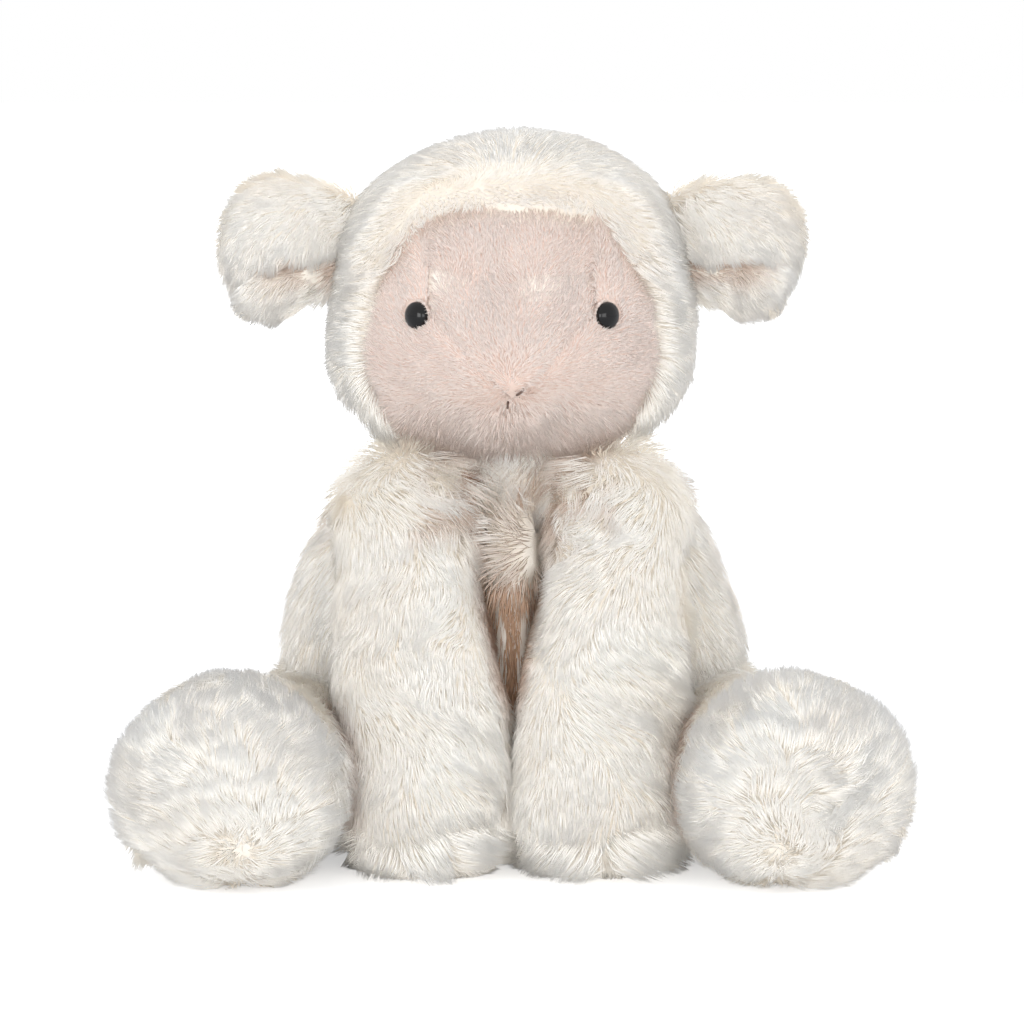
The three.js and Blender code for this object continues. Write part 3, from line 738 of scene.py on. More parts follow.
def pile(name, roots, normals, comb, length, body, seed, painted_shade=0.0, width=0.5, material=ivory_pile,
         part=slice(None), **how):
    """A piece of pile: paths, a creamier or whiter tone for each lock, the painted shade, and the
    spindles.

    All numbers may be given for each hair, and part then picks the hairs of this piece.
    """
    def chosen(value):
        """The hairs of this piece out of numbers for all hairs; a single number is left alone."""
        if isinstance(value, tuple):
            return tuple(chosen(one) for one in value)
        return value[part] if np.ndim(value) else value

    roots, normals, comb, length, painted_shade = chosen((roots, normals, comb, length, painted_shade))
    roots = roots - normals * ROOT_DEPTH
    how = {key: chosen(value) for key, value in how.items()}
    paths, owner = hair_paths(roots, normals, comb, length, seed, **how)
    rng = np.random.default_rng(seed + 50)
    cream = 0.5 + 0.3 * drift(roots, 0.02, seed + 60) + 0.25 * rng.normal(size=len(roots))
    cream = 0.5 * cream + 0.5 * cream[owner]
    widths = width * MM * rng.uniform(0.7, 1.2, len(roots))
    painted_shade = np.broadcast_to(painted_shade, len(roots))
    piece = spindles(name, paths, normals, widths, cream, painted_shade, material, body)
    print(name, len(roots), "hairs", len(piece.data.polygons), "faces")


def contact_shade(points, neighbour, reach=9 * MM):
    """From 0 to 1: how close points are to another bag, which sets the painted shade where two parts
    meet.
    """
    return np.clip((1.0 - bag_depth(neighbour, points, reach)) / 0.3, 0, 1)


def hairs(count):
    """Number of hairs to ask for."""
    return int(count * (1.0))


print("share of the hairs that is made", hairs(1000) / 1000)

# %% [markdown]
# The trunk has a back panel and a belly panel, sewn together down both sides behind the arms. Each
# panel is the part of the bag on its own side of the seam. On a ring whose half depth is d, the
# seam lies at the angle whose sine is the seam's distance from the ring's middle over d.

# %% Back and belly cloth
SEAM_Y = 16 * MM
TRUNK_LUMPS = (0.8, 0.035, 5)
TRUNK_THICKNESS = 2.5 * MM


def trunk_panel(front, grow, rows=64, columns=56):
    """Grid of one panel: rows up the trunk, columns from seam to seam."""
    way = np.linspace(0.02, 0.985, rows)
    middle_y = bag_point(trunk, np.array([0.25, 0.75])[:, None], way[None])[..., 1]
    half_y = np.abs(middle_y[0] - middle_y[1]) / 2
    seam = np.arcsin(np.clip((SEAM_Y - middle_y.mean(axis=0)) / half_y, -0.999, 0.999)) / (2 * np.pi)
    begin, end = (0.5 - seam, 1 + seam) if front else (seam, 0.5 - seam)
    around = begin[:, None] + (end - begin)[:, None] * np.linspace(0.004, 0.996, columns)
    way = np.broadcast_to(way[:, None], around.shape)
    points, normals = lumpy(trunk, around, way, grow, *TRUNK_LUMPS)
    points = pressed(points, -normals, trunk_neighbours, PRESS_GAP - min(0.0, grow - CLOTH))
    points[:, 2] = np.maximum(points[:, 2], FLOOR_GAP - (grow - CLOTH))
    return points.reshape(rows, columns, 3)


for node, front in (("body_belly", True), ("body_back", False)):
    mesh = panel_mesh(trunk_panel(front, CLOTH), trunk_panel(front, CLOTH - TRUNK_THICKNESS))
    crisp_rim(closed_piece(f"{node}_cloth", mesh, ivory_cloth, "trunk", node), mesh[1])
    print(node, len(mesh[0]), "points")

# %% [markdown]
# The trunk's pile hangs down and slightly outwards. On the chest it is ruffled, because chin and
# shoulders rub there, so its brushing direction wanders more, and it carries painted shade from the head
# above. Behind the legs the pile is thin and short and lightly painted with shade, but not in the gap
# between the forelegs, where it is long and painted a deep warm shade.

# %% Pile of the trunk
def in_gap(points):
    """Whether points are on the front of the trunk where it shows between the forelegs."""
    x, y, _ = in_mm(points)
    return (np.abs(x) < 17) & (y < -20)


def held_by(points, reach):
    """Whether points are inside any of the trunk's neighbours, moved outwards by a reach."""
    return np.any([bag_depth(bag, points, reach) < 1 for bag, _ in trunk_neighbours], axis=0)


def trunk_roots(count):
    """Even roots on the trunk, pressed like the cloth; covered marks those behind a leg or the neck."""
    points, normals = spread_roots(bag_sheet(trunk), count, *TRUNK_LUMPS)
    covered, deep = held_by(points, 2 * MM), held_by(points, -9 * MM)
    thinned = covered & (np.arange(len(points)) % 2 == 0)
    z = in_mm(points)[2]
    keep = (in_gap(points) & (z > 50) | ~(deep | thinned)) & (z > 1.5)
    points, normals, covered = points[keep], normals[keep], covered[keep]
    points[covered] = pressed(points[covered], -normals[covered], trunk_neighbours, 2 * MM)
    return points, normals, covered


roots, normals, covered = trunk_roots(hairs(50000))
x, y, z = in_mm(roots)
chest = bell(x, 0, 42) * bell(z, 116, 24) * (y < 0) * ramp(z, 92, 104)
middle = bell(x, 0, 15) * ramp(z, 98, 108) * (y < -20)
outward = unit(roots * [1, 1, 0] - [0, 5 * MM, 0])
comb = flattened(outward * 0.25 - UP + np.outer(drift(roots, 0.05, 11), [0.35, 0, 0]), normals)
comb = turned(comb, normals, (0.35 + 1.5 * chest) * drift(roots, 0.028, 12))
length = (13.5 + 8.0 * chest + 7.0 * middle + 1.2 * drift(roots, 0.03, 13)) * MM
length = np.where(covered & (middle < 0.4) & ~in_gap(roots), length * 0.45, length)
# Painted shade: deep warm brown in the gap between the forelegs, lighter on the chest and behind the
# legs.
painted_shade = bell(x, 0, 20) * (y < -20) * np.interp(z, [34, 58, 90, 102], [0.1, 0.9, 0.85, 0.0])
painted_shade = np.maximum(painted_shade + 0.3 * chest * (0.7 + drift(roots, 0.012, 19)), 0.3 * covered)
rise = (29 + 32 * chest + 10 * middle, 6 + 26 * chest + 10 * middle)
front = roots[:, 1] < SEAM_Y
for node, part, seed in (("body_belly", front, 21), ("body_back", ~front, 22)):
    pile(f"{node}_pile", roots, normals, comb, length, "trunk", seed, painted_shade, part=part, rise=rise,
         mess=0.14 + 0.35 * chest, draw=0.14 + 0.36 * chest)

# %% [markdown]
# Between trunk and head the covers are gathered into a short collar round the neck's filling, and
# its pile hides the join. The collar belongs to the trunk's covers, and the head turns above it.

# %% Collar
def neck_ball(rise, turn, radius):
    """Places on a ball round the neck's middle, by the angle above the level and the angle round it."""
    out = [np.cos(rise) * np.cos(turn), np.cos(rise) * np.sin(turn), np.sin(rise) + 0 * turn]
    return np.array([0, -18, 133]) * MM + np.stack(out, axis=-1) * radius


def collar_grid(radius, rows=12, columns=64):
    """Rings round the neck's ball, from inside the trunk to under the head."""
    rise = np.linspace(math.radians(-52), math.radians(28), rows)[:, None]
    return neck_ball(rise, np.arange(columns) / columns * 2 * np.pi, radius)


def band_mesh(outer, inner):
    """Points and triangles of two closed rings of grid joined at their two rims."""
    rows, columns = outer.shape[:2]
    count = rows * columns
    wall = ring_faces(rows, columns)
    ring = np.arange(columns)
    after = (ring + 1) % columns
    low = np.stack([after, ring, ring + count, after + count], axis=1)
    high = low[:, ::-1] + (rows - 1) * columns
    quads = np.concatenate([wall, wall[:, ::-1] + count, low, high])
    return np.concatenate([outer.reshape(-1, 3), inner.reshape(-1, 3)]), as_triangles(quads)


points, triangles = band_mesh(collar_grid(20.8 * MM), collar_grid(20.3 * MM))
mesh_piece("body_collar_cloth", points, outwards(points, triangles), ivory_cloth, "trunk")
around, rise = np.meshgrid(np.linspace(0, 1, 97), np.linspace(math.radians(-50), math.radians(20), 25))
roots, normals = spread_roots(neck_ball(rise, around * 2 * np.pi, 20.9 * MM), hairs(8500))
comb = flattened(normals * [1, 1, 0] - 1.2 * UP + np.outer(drift(roots, 0.02, 14), [0.7, 0, 0]), normals)
comb = turned(comb, normals, 0.8 * drift(roots, 0.018, 15))
# The collar's pile carries patches of painted shade, under the chin.
pile("body_collar_pile", roots, normals, comb, (23 + 3 * drift(roots, 0.02, 16)) * MM, "trunk", 17,
     0.12 * drift(roots, 0.012, 18), rise=(64, 34), tuft=110, draw=0.55, mess=0.6)

# %% [markdown]
# Head. The cloth under the pink face lies deeper than under the long pile, because the face panels
# are sewn in over the same stuffing with a shorter pile.

# %% The face's outline
HEAD_Y, FACE_Z = -30 * MM, 172 * MM
HEAD_LUMPS = (0.6, 0.035, 31)
FACE_OUTLINE = np.array([
    (0, 0.515), (0.3, 0.513), (0.5, 0.505), (0.62, 0.48), (0.79, 0.35), (0.92, 0.14), (1, -0.06),
    (0.94, -0.24), (0.79, -0.4), (0.56, -0.52), (0.3, -0.6), (0, -0.62),
]) * [47 * MM, 88 * MM]


def face_share(points):
    """Distance from the face's middle over the outline's distance in that direction: below 1 inside."""
    x, z = np.abs(points[:, 0]), points[:, 2] - FACE_Z
    edge_angle = np.arctan2(FACE_OUTLINE[:, 0], FACE_OUTLINE[:, 1])
    edge = np.interp(np.arctan2(x, z), edge_angle, np.hypot(*FACE_OUTLINE.T))
    return np.where(points[:, 1] < HEAD_Y - 8 * MM, np.hypot(x, z) / edge, 9.0)


def crown_rise(points):
    """The crown is stuffed a little fuller, from the brow upwards."""
    return (2.4 * MM * ramp(points[:, 2], 198 * MM, 222 * MM))[:, None]


def head_grid(rows=110, columns=120):
    """Rings of the head's cloth, sunk below the pink panels with a soft edge."""
    way, around = (np.arange(rows) + 0.5) / rows, np.arange(columns) / columns
    way, around = np.meshgrid(way, around, indexing="ij")
    points, normals = lumpy(head, around, way, CLOTH, *HEAD_LUMPS)
    points = pressed(points + normals * crown_rise(points), -normals, [(neck, 0.0)], PRESS_GAP)
    points = points - normals * (3.2 * MM * ramp(face_share(points), 1.02, 0.9))[:, None]
    return points.reshape(rows, columns, 3)


mesh = bag_mesh(head_grid())
closed_piece("head_cloth", mesh, ivory_cloth, "head", "head_cover")
print("head", len(mesh[0]), "points")

# %% [markdown]
# The pink face has three panels. The middle one starts in a point at the nose and runs up to the
# brow, and the cheek panels meet below the nose. The middle panel is a grid of places seen from the
# front, x across and z up, laid on the front of the head. There y comes from the oval's equation,
# moved by the muzzle. The rows of a cheek run along the head's rings, from the seam to the outline.

# %% Panels of the face
NOSE_Z, BROW_Z = 153 * MM, 180 * MM
FACE_CLOTH, FACE_THICKNESS = -2.2 * MM, 1.0 * MM
SEAM_GAP = 0.04 * MM


def head_front(x, z, grow):
    """The y of the head's front at a place seen from the front, for a surface moved by grow."""
    share = ramp(z, 167 * MM, 191 * MM)
    above = np.clip((z - 191 * MM) / (42 * MM + grow), 0, 0.999)
    below = np.clip((167 * MM - z) / (33 * MM + grow), 0, 0.999)
    scale = np.sqrt(1 - above ** 2) * (1 - below ** 2.5) ** 0.4
    half_width, half_depth = (half * scale for half in half_sizes(head, share, grow))
    y = HEAD_Y + 3 * MM * share - half_depth * np.sqrt(np.clip(1 - (x / half_width) ** 2, 0.0, 1))
    return swell_muzzle(np.stack([x, y, z], axis=-1))


def outline_top(x):
    """Height of the face's outline above a place across it."""
    return FACE_Z + np.interp(np.abs(x), FACE_OUTLINE[:7, 0], FACE_OUTLINE[:7, 1])


def seam_half(z):
    """Half width of the middle panel: it opens from the nose to the brow and then closes slightly."""
    return np.interp(z, [NOSE_Z, BROW_Z, BROW_Z + 353 * MM], [0, 27 * MM, 22.5 * MM])


def gusset_grid(side, grow, rows=60, columns=48):
    """Grid of the middle panel on the head's front."""
    row, column = np.meshgrid(np.linspace(0, 1, rows), np.linspace(-1, 1, columns), indexing="ij")
    edge_z = NOSE_Z + row * (outline_top(26.5 * MM) - NOSE_Z)
    x = column * np.maximum(seam_half(edge_z) - SEAM_GAP, 0.1 * MM)
    return head_front(x, NOSE_Z + row * (outline_top(x) - NOSE_Z), grow)


def cheek_grid(side, grow, rows=60, columns=40):
    """Grid of one cheek: rows up the head's rings, columns from the seam out to the outline.

    On a ring of half width w, a place x across lies at the angle whose cosine is x over w.
    """
    table = np.linspace(0.01, 0.9, 500)
    table_z = bag_point(head, np.full(500, 0.75), table, grow)[:, 2]
    table_depth = bag_point(head, np.full(500, 0.25), table, grow)[:, 1] - HEAD_Y
    low = table[np.argmax(table_depth > 18 * MM)]
    way = np.linspace(low, np.interp(210.5 * MM, table_z, table), rows)
    z = np.interp(way, table, table_z)
    half = bag_point(head, np.zeros(rows), way, grow)[:, 0]
    outline_x = np.interp(-(z - FACE_Z), -FACE_OUTLINE[:, 1], FACE_OUTLINE[:, 0])
    reach = half * np.sqrt(1 - np.clip(15 * MM / np.interp(way, table, table_depth), 0, 1) ** 2)
    inner = np.where(z > NOSE_Z, seam_half(z), 0) + SEAM_GAP
    outer = np.maximum(np.minimum(outline_x, reach), inner + 0.2 * MM)
    x = inner[:, None] + (outer - inner)[:, None] * np.linspace(0, 1, columns)
    turn = np.arccos(np.clip(x / half[:, None], -1, 1)) / (2 * np.pi)
    around = 1 - turn if side > 0 else 0.5 + turn
    return bag_point(head, around, np.broadcast_to(way[:, None], around.shape), grow)


print("nose at", head_front(np.array([0.0]), np.array([NOSE_Z]), FACE_CLOTH) / MM)

# %% [markdown]
# Where panels meet, the seam pulls the cloth in, so a shallow valley runs along each seam, and the
# stitches at the nose pull a deeper dimple. Each eye also sits in a small hollow, because its shank
# is pulled back by the washer.

# %% Valleys of the seams and hollows of the eyes
EYE_X, EYE_Z, EYE_ROOM = 30 * MM, 178.5 * MM, 4.5 * MM
EYES = {name: head_front(np.array([side * EYE_X]), np.array([EYE_Z]), -2.5 * MM)[0]
        for name, side in SIDES.items()}


def pulled_in(points):
    """Moves face cloth backwards near the seams, the nose and the eyes, by bell-shaped depths."""
    x, z = np.abs(points[..., 0]), points[..., 2]
    seam = np.where(z > NOSE_Z, np.abs(x - seam_half(z)), x)
    valley = 0.6 * MM * bell(seam, 0, 3.0 * MM)
    nose = 3.2 * MM * bell(x, 0, 4 * MM) * bell(z, 151 * MM, 4.5 * MM)
    moved = points.copy()
    moved[..., 1] += np.maximum(valley, nose) + 0.8 * MM * bell(x, EYE_X, 7 * MM) * bell(z, EYE_Z, 7 * MM)
    return moved


def face_panel(make, side, grow=FACE_CLOTH):
    """The cloth of one panel of the face, with its valleys and hollows."""
    return pulled_in(make(side, grow))


PANELS = {
    "face_gusset": (gusset_grid, 0.0, 12500, 42),
    "left_cheek_panel": (cheek_grid, 1.0, 9500, 43),
    "right_cheek_panel": (cheek_grid, -1.0, 9500, 44),
}
for node, (make, side, _, _) in PANELS.items():
    mesh = panel_mesh(face_panel(make, side), face_panel(make, side, FACE_CLOTH - FACE_THICKNESS))
    crisp_rim(closed_piece(f"{node}_cloth", mesh, pink_cloth, "head", node), mesh[1])
    print(node, len(mesh[0]), "points")

# %% [markdown]
# The face's pile is only a few millimetres long and dense, like velvet. It is brushed away from the
# nose: up over the brow and out over the cheeks. Along the seams the hairs lean over them, and below
# the chin they are longer.

# %% Pile of the face
def face_comb(points, normals):
    """Away from the nose, with a little drift and some fall on the cheeks."""
    x, z = np.abs(points[:, 0]), points[:, 2]
    away = (points - [0, 0, NOSE_Z - 1 * MM]) * [1, 0, 1]
    fall = 0.35 * ramp(z, 175 * MM, 135 * MM) + 2.5 * ramp(z, 152 * MM, 142 * MM)
    comb = unit(away) - UP * fall[:, None]
    past = np.where(z > NOSE_Z, x - seam_half(z), x)
    near = bell(past, 0, 2.6 * MM)
    comb[:, 0] -= 1.3 * near * np.sign(past) * np.sign(points[:, 0])
    tangle = np.random.default_rng(40).normal(size=len(points)) * near
    return turned(flattened(comb, normals), normals, 0.35 * drift(points, 0.02, 41) + 0.4 * tangle)


for node, (make, side, count, seed) in PANELS.items():
    roots, normals = spread_roots(face_panel(make, side), hairs(count))
    to_eyes = np.min([np.linalg.norm(roots - place, axis=1) for place in EYES.values()], axis=0)
    roots, normals = roots[to_eyes > EYE_ROOM], normals[to_eyes > EYE_ROOM]
    chin = ramp(roots[:, 2], 152 * MM, 139 * MM)
    length = (4.4 + 15 * chin + 0.6 * drift(roots, 0.02, 45)) * MM
    pile(f"{node}_pile", roots, normals, face_comb(roots, normals), length, "head", seed, width=0.38,
         material=pink_pile, rise=(44 - 6 * chin, 20), droop=1.2 * chin, lock=8, pull=0.3, draw=0.0,
         mess=0.3)

# %% [markdown]
# The hairs right beside an eye are pushed up by its rim and lean over it, which makes the eye look
# narrower than it is. They stand round the side of the eye that is towards the nose, and the longest
# are in the middle of that side.

# %% Hairs round the eyes
EYE_SPLAY = math.radians(42)


def eye_axis(side):
    """The direction in which an eye looks: forwards and outwards."""
    return np.array([side * math.sin(EYE_SPLAY), -math.cos(EYE_SPLAY), 0.0])


for (name, side), seed in zip(SIDES.items(), (46, 47)):
    axis = eye_axis(side)
    noseward = -side * np.cross(UP, axis)
    places = even_places(hairs(260))
    turn = math.radians(100) * (2 * places[:, 0] - 1)
    outward = np.cos(turn)[:, None] * noseward + np.sin(turn)[:, None] * UP
    roots = EYES[name] + outward * ((4.75 + 0.9 * places[:, 1]) * MM)[:, None] - axis * 0.2 * MM
    normals = np.broadcast_to(axis, roots.shape)
    pile(f"{name}_eye_rim_pile", roots, normals, -outward, (2.2 + 1.0 * np.cos(turn)) * MM, "head", seed,
         width=0.34, material=pink_pile, rise=(76, 64), droop=0.0, lock=8, pull=0.2, draw=0.0, mess=0.3)

# %% [markdown]
# The long pile of the head starts right at the pink edge and covers it. From the top of the head it
# falls to both sides, on the cheeks it stands out like a ruff, at the back it hangs down, and at the
# brow a short fringe falls forwards over the pink edge.

# %% Pile of the head
def ear_root(points):
    """From 0 to 1: how close points are to where an ear is sewn in."""
    offset = (np.abs(points) - np.array([55, 25, 200]) * MM) * [0.8, 1.0, 0.8]
    return bell(np.linalg.norm(offset, axis=1), 0, 20 * MM)


def brow_edge(points):
    """From 0 to 1: how close points are to the upper edge of the pink face."""
    return ramp(face_share(points), 1.13, 1.03) * ramp(points[:, 2], 184 * MM, 196 * MM)


def mixed(share, low, high):
    """Directions between two sets of directions, by a share for each point."""
    return low * (1 - share)[:, None] + high * share[:, None]


def directions(x, y, z):
    """Directions from three numbers or arrays."""
    return np.stack(np.broadcast_arrays(x, y, z), axis=1)


def head_comb(points, normals):
    """Blend of three directions by height: down the sides, away from the face, and down behind."""
    x, y, z = in_mm(points)
    sideways = np.tanh(x / 38)
    top, front, edge = ramp(z, 190, 208), ramp(y, -16, -46), brow_edge(points)
    cheek = unit(directions(x, 0, z - FACE_Z / MM)) + [0, 0.5, -0.25]
    comb = mixed(front, directions(0.25 * sideways, 0.15, -1), cheek)
    comb = mixed(top, comb, directions(sideways, 0.5, -0.5 * np.abs(sideways)))
    comb = mixed(ear_root(points), comb, directions(np.sign(x), 0, 0.25))
    comb = mixed(front * ramp(z, 164, 150), comb, directions(0.3 * np.sign(x), 0, -1))
    comb = mixed(edge, comb, directions(0.5 + 0.4 * drift(points, 0.02, 56), 0, -1))
    stray = np.random.default_rng(55).normal(size=len(points))
    return turned(flattened(comb, normals), normals, 0.22 * drift(points, 0.025, 51) + 0.5 * edge * stray)


roots, normals = spread_roots(bag_sheet(head), hairs(62000), *HEAD_LUMPS)
roots = roots + normals * crown_rise(roots)
free = (face_share(roots) > 0.97 - 0.05 * brow_edge(roots)) & (bag_depth(neck, roots, 1 * MM) > 1)
for bag in ears.values():
    free &= bag_depth(bag, roots, -3 * MM) > 1
roots, normals = roots[free], normals[free]
share, brow = face_share(roots), brow_edge(roots)
x, y, z = in_mm(roots)
ruff = bell(share, 1, 0.3) * ramp(z, 208, 192)
jowl = bell(share, 1, 0.35) * ramp(z, 160, 146)
over_ear = ear_root(roots) * ramp(z, 200, 208)
length = (12.5 + 2.5 * ruff + 5.0 * jowl + 4.0 * over_ear + 0.8 * drift(roots, 0.03, 52)) * MM
smooth = ramp(z, 196, 210)
steep = 6 * over_ear + 120 * brow * (1 - brow) + 12 * brow
rise = (33 - 8 * smooth + steep, 7 - 3 * smooth + 4 * jowl + 0.5 * steep)
comb = head_comb(roots, normals)
# The fringe at the brow carries a faint painted shade.
for name, part, seed in (("left", x > 0, 53), ("right", x <= 0, 54)):
    pile(f"head_pile_{name}", roots, normals, comb, length * (1 - 0.5 * brow), "head", seed, 0.08 * brow,
         width=0.48, part=part, rise=rise, mess=0.14 - 0.11 * smooth, draw=0.1 + 0.2 * ruff,
         droop=0.05 + 0.3 * jowl)

# %% [markdown]
# The eyes are domed black buttons on a shank. A turned profile is right for them: the dome's height
# follows a circle, and a narrow rim meets the cloth.

# %% Eyes and washers
def turned_piece(name, profile, place, axis, material, node, columns=40):
    """A profile of radius and height turned about an axis that starts at a place."""
    across = unit(np.cross(UP, axis))
    upright = np.cross(axis, across)
    turn = np.arange(columns) / columns * 2 * np.pi
    ring = np.cos(turn)[:, None] * across + np.sin(turn)[:, None] * upright
    profile = np.array(profile) * MM
    grid = place + profile[:, None, :1] * ring[None] + profile[:, None, 1:] * axis
    closed_piece(name, bag_mesh(grid), material, "head", node)


EYE_RADIUS, DOME_FOOT, DOME_HEIGHT, SHANK = 4.5, 0.8, 2.6, 15
dome = [(EYE_RADIUS * math.cos(angle), DOME_FOOT + DOME_HEIGHT * math.sin(angle))
        for angle in np.linspace(0.04, np.pi / 2 - 0.06, 12).tolist()]
button = [(0.2, -SHANK), (1.6, -14.8), (1.6, -0.6), (3.9, -0.5), (4.4, 0.0), (4.55, 0.45), *dome]
washer = [(1.95, -9.6), (1.95, -11.0), (6.8, -11.0), (7.0, -10.7), (7.0, -9.8), (6.8, -9.55)]
for name, side in SIDES.items():
    low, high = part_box(f"{name}_eye")
    back = (SHANK * math.cos(EYE_SPLAY) + 1.6 * math.sin(EYE_SPLAY) - DOME_FOOT) * MM
    seat, axis = np.array([side * EYE_X, high[1] - back, EYE_Z]), eye_axis(side)
    turned_piece(f"{name}_eye_button", button, seat, axis, eye_black, f"{name}_eye")
    turned_piece(f"{name}_washer", washer + washer[:1], seat, axis, washer_white, f"{name}_eye_washer")
    print(name, "eye at", seat / MM, "cloth at", EYES[name] / MM)

# %% [markdown]
# The nose is only a stitch: one slanted thread and a short upright one below it, where the three
# panels meet. A thread is a thin tube along a curve, and its ends go down into the cloth.

# %% Nose stitch
def thread(points, radius, columns=8):
    """Rings round a path of points, standing across it."""
    run = unit(np.gradient(points, axis=0))
    side = unit(np.cross(run, np.array([0.3, 1.0, 0.2])))
    upright = np.cross(run, side)
    turn = np.arange(columns) / columns * 2 * np.pi
    ring = np.cos(turn)[None, :, None] * side[:, None] + np.sin(turn)[None, :, None] * upright[:, None]
    return points[:, None] + ring * radius


def stitch(start, end, count=15):
    """A thread between two places of the face, x and z in millimetres, raised in its middle."""
    share = np.linspace(0, 1, count)
    x, z = ((a + (b - a) * share) * MM for a, b in zip(start, end))
    path = pulled_in(head_front(x, z, FACE_CLOTH))
    path[:, 1] += (0.6 - 2.5 * np.sin(np.pi * share) ** 0.6) * MM
    points, triangles = bag_mesh(thread(path, 0.4 * MM))
    return points, outwards(points, triangles)


slanted, upright = stitch((1.5, 154.2), (3.6, 156.0)), stitch((-1.3, 151.6), (-1.4, 149.6))
points = np.concatenate([slanted[0], upright[0]])
triangles = np.concatenate([slanted[1], upright[1] + len(slanted[0])])
closed_piece("nose_stitch_thread", (points, triangles), nose_thread, "head", "nose_stitch")
print("stitch", len(points), "points")

# %% [markdown]
# Each ear is a stuffed paddle that is folded lengthways and tacked, so its front has a deep crease,
# and a second layer lines the fold. The pile runs out to the tip, and on the upper half it hangs
# over the crease.

# %% Ears
def ear_comb(points, normals, side):
    """Out to the tip, forwards and down over the crease on the upper half."""
    x, y, z = in_mm(points)
    front, upper = ramp(y, -27, -37), ramp(z, 193, 199)
    rise = 1.1 * (z - 199) / 20 * ramp(np.abs(x), 62, 76) - (0.5 + 1.3 * front * upper)
    tip = flattened(directions(side, 0.15 - 0.5 * (1 - front) * upper, rise), normals)
    return turned(tip, normals, 0.25 * drift(points, 0.02, 63) + 0.25 * drift(points, 0.01, 66))


for name, side in SIDES.items():
    bag, body = ears[name], f"{name}_ear"
    mesh = bag_mesh(cloth_grid(bag, 56, 64, CLOTH, lumps=0.3, seed=61))
    closed_piece(f"{name}_ear_cloth", mesh, ivory_cloth, body, f"{name}_ear_back")
    middle = 0.25 if side > 0 else 0.75
    around, way = np.meshgrid(middle + np.linspace(-0.125, 0.125, 36), np.linspace(0.3, 0.74, 30))
    lining = panel_mesh(*(bag_point(bag, around, way, CLOTH + lift * MM) for lift in (0.7, 0.1)))
    closed_piece(f"{name}_lining_cloth", lining, ivory_cloth, body, f"{name}_ear_lining")

    roots, normals = free_roots(bag_sheet(bag), hairs(14500), [(head, -1)], 0.3, 61)
    x, y, z = in_mm(roots)
    crease = bell(z, 194, 6) * (y < -30)
    inner = ramp(np.abs(x), 72, 60) * ramp(z, 209, 203)
    length = (12.0 + 1.0 * drift(roots, 0.03, 64)) * MM * (1 - 0.2 * crease)
    # Painted shade: warm brown along the crease of the front, and a trace over the whole ear.
    painted_shade = 0.02 + 0.55 * ramp(np.abs(x), 84, 74) * (y < -27) * bell(z, 192.5, 3.4)
    pile(f"{name}_ear_pile", roots, normals, ear_comb(roots, normals, side), length, body,
         66 if side > 0 else 65, painted_shade, width=0.48, rise=(30 - 12 * inner, 7 - 4 * inner), mess=0.16,
         draw=0.08 + 0.25 * crease)

# %% [markdown]
# The forelegs hang from the shoulders and stand on the floor. Halfway up the paw a fold runs across
# the front, where the leg bends against the floor, and the pile fans out below it. Higher up the two
# legs lie a little apart, so that the chest shows between them.

# %% Forelegs
ANKLE_Z = 20
FANS = {"left": np.array([26, -112, 21]) * MM, "right": np.array([-37, -112, 21]) * MM}


def apart(z):
    """How far each upper leg lies from its place against the other, by height, in millimetres."""
    return np.interp(z, [54, 69, 107, 128], [0, 3, 11, 8])


def shaped_leg(points, side):
    """Moves the paw's front back along the ankle crease, and the side towards the other leg outwards."""
    x, y, z = in_mm(points)
    level = ANKLE_Z + 1.5 * np.sin((x - side * 27) / 9)
    moved = points.copy()
    moved[..., 1] += 1.5 * MM * ramp(y, -88, -104) * bell(z, level, 3.6)
    moved[..., 0] += side * MM * apart(z) * ramp(side * x, 18, 0)
    return moved


def foreleg_comb(points, normals, bag, fan, side):
    """Down the leg and away from its front line; on the paw, away from the middle of the ankle crease."""
    x, y, z = in_mm(points)
    front_line = side * (33 - 6.2 * (108 - z) / 81)
    fall = unit(bag["spine"]) + np.outer(0.55 * (x - front_line) / 27, [1, 0, 0])
    sway = 0.5 * drift(points, 0.07, 71) + 0.3 * drift(points, 0.025, 72) + 0.2 * drift(points, 0.012, 76)
    fall = turned(flattened(fall, normals), normals, sway * (1 + 0.3 * ramp(z, 100, 120)))
    paw = ramp(z, ANKLE_Z + 3, ANKLE_Z - 5) * ramp(y, -60, -80)
    return flattened(mixed(paw, fall, flattened(points - fan, normals)), normals)


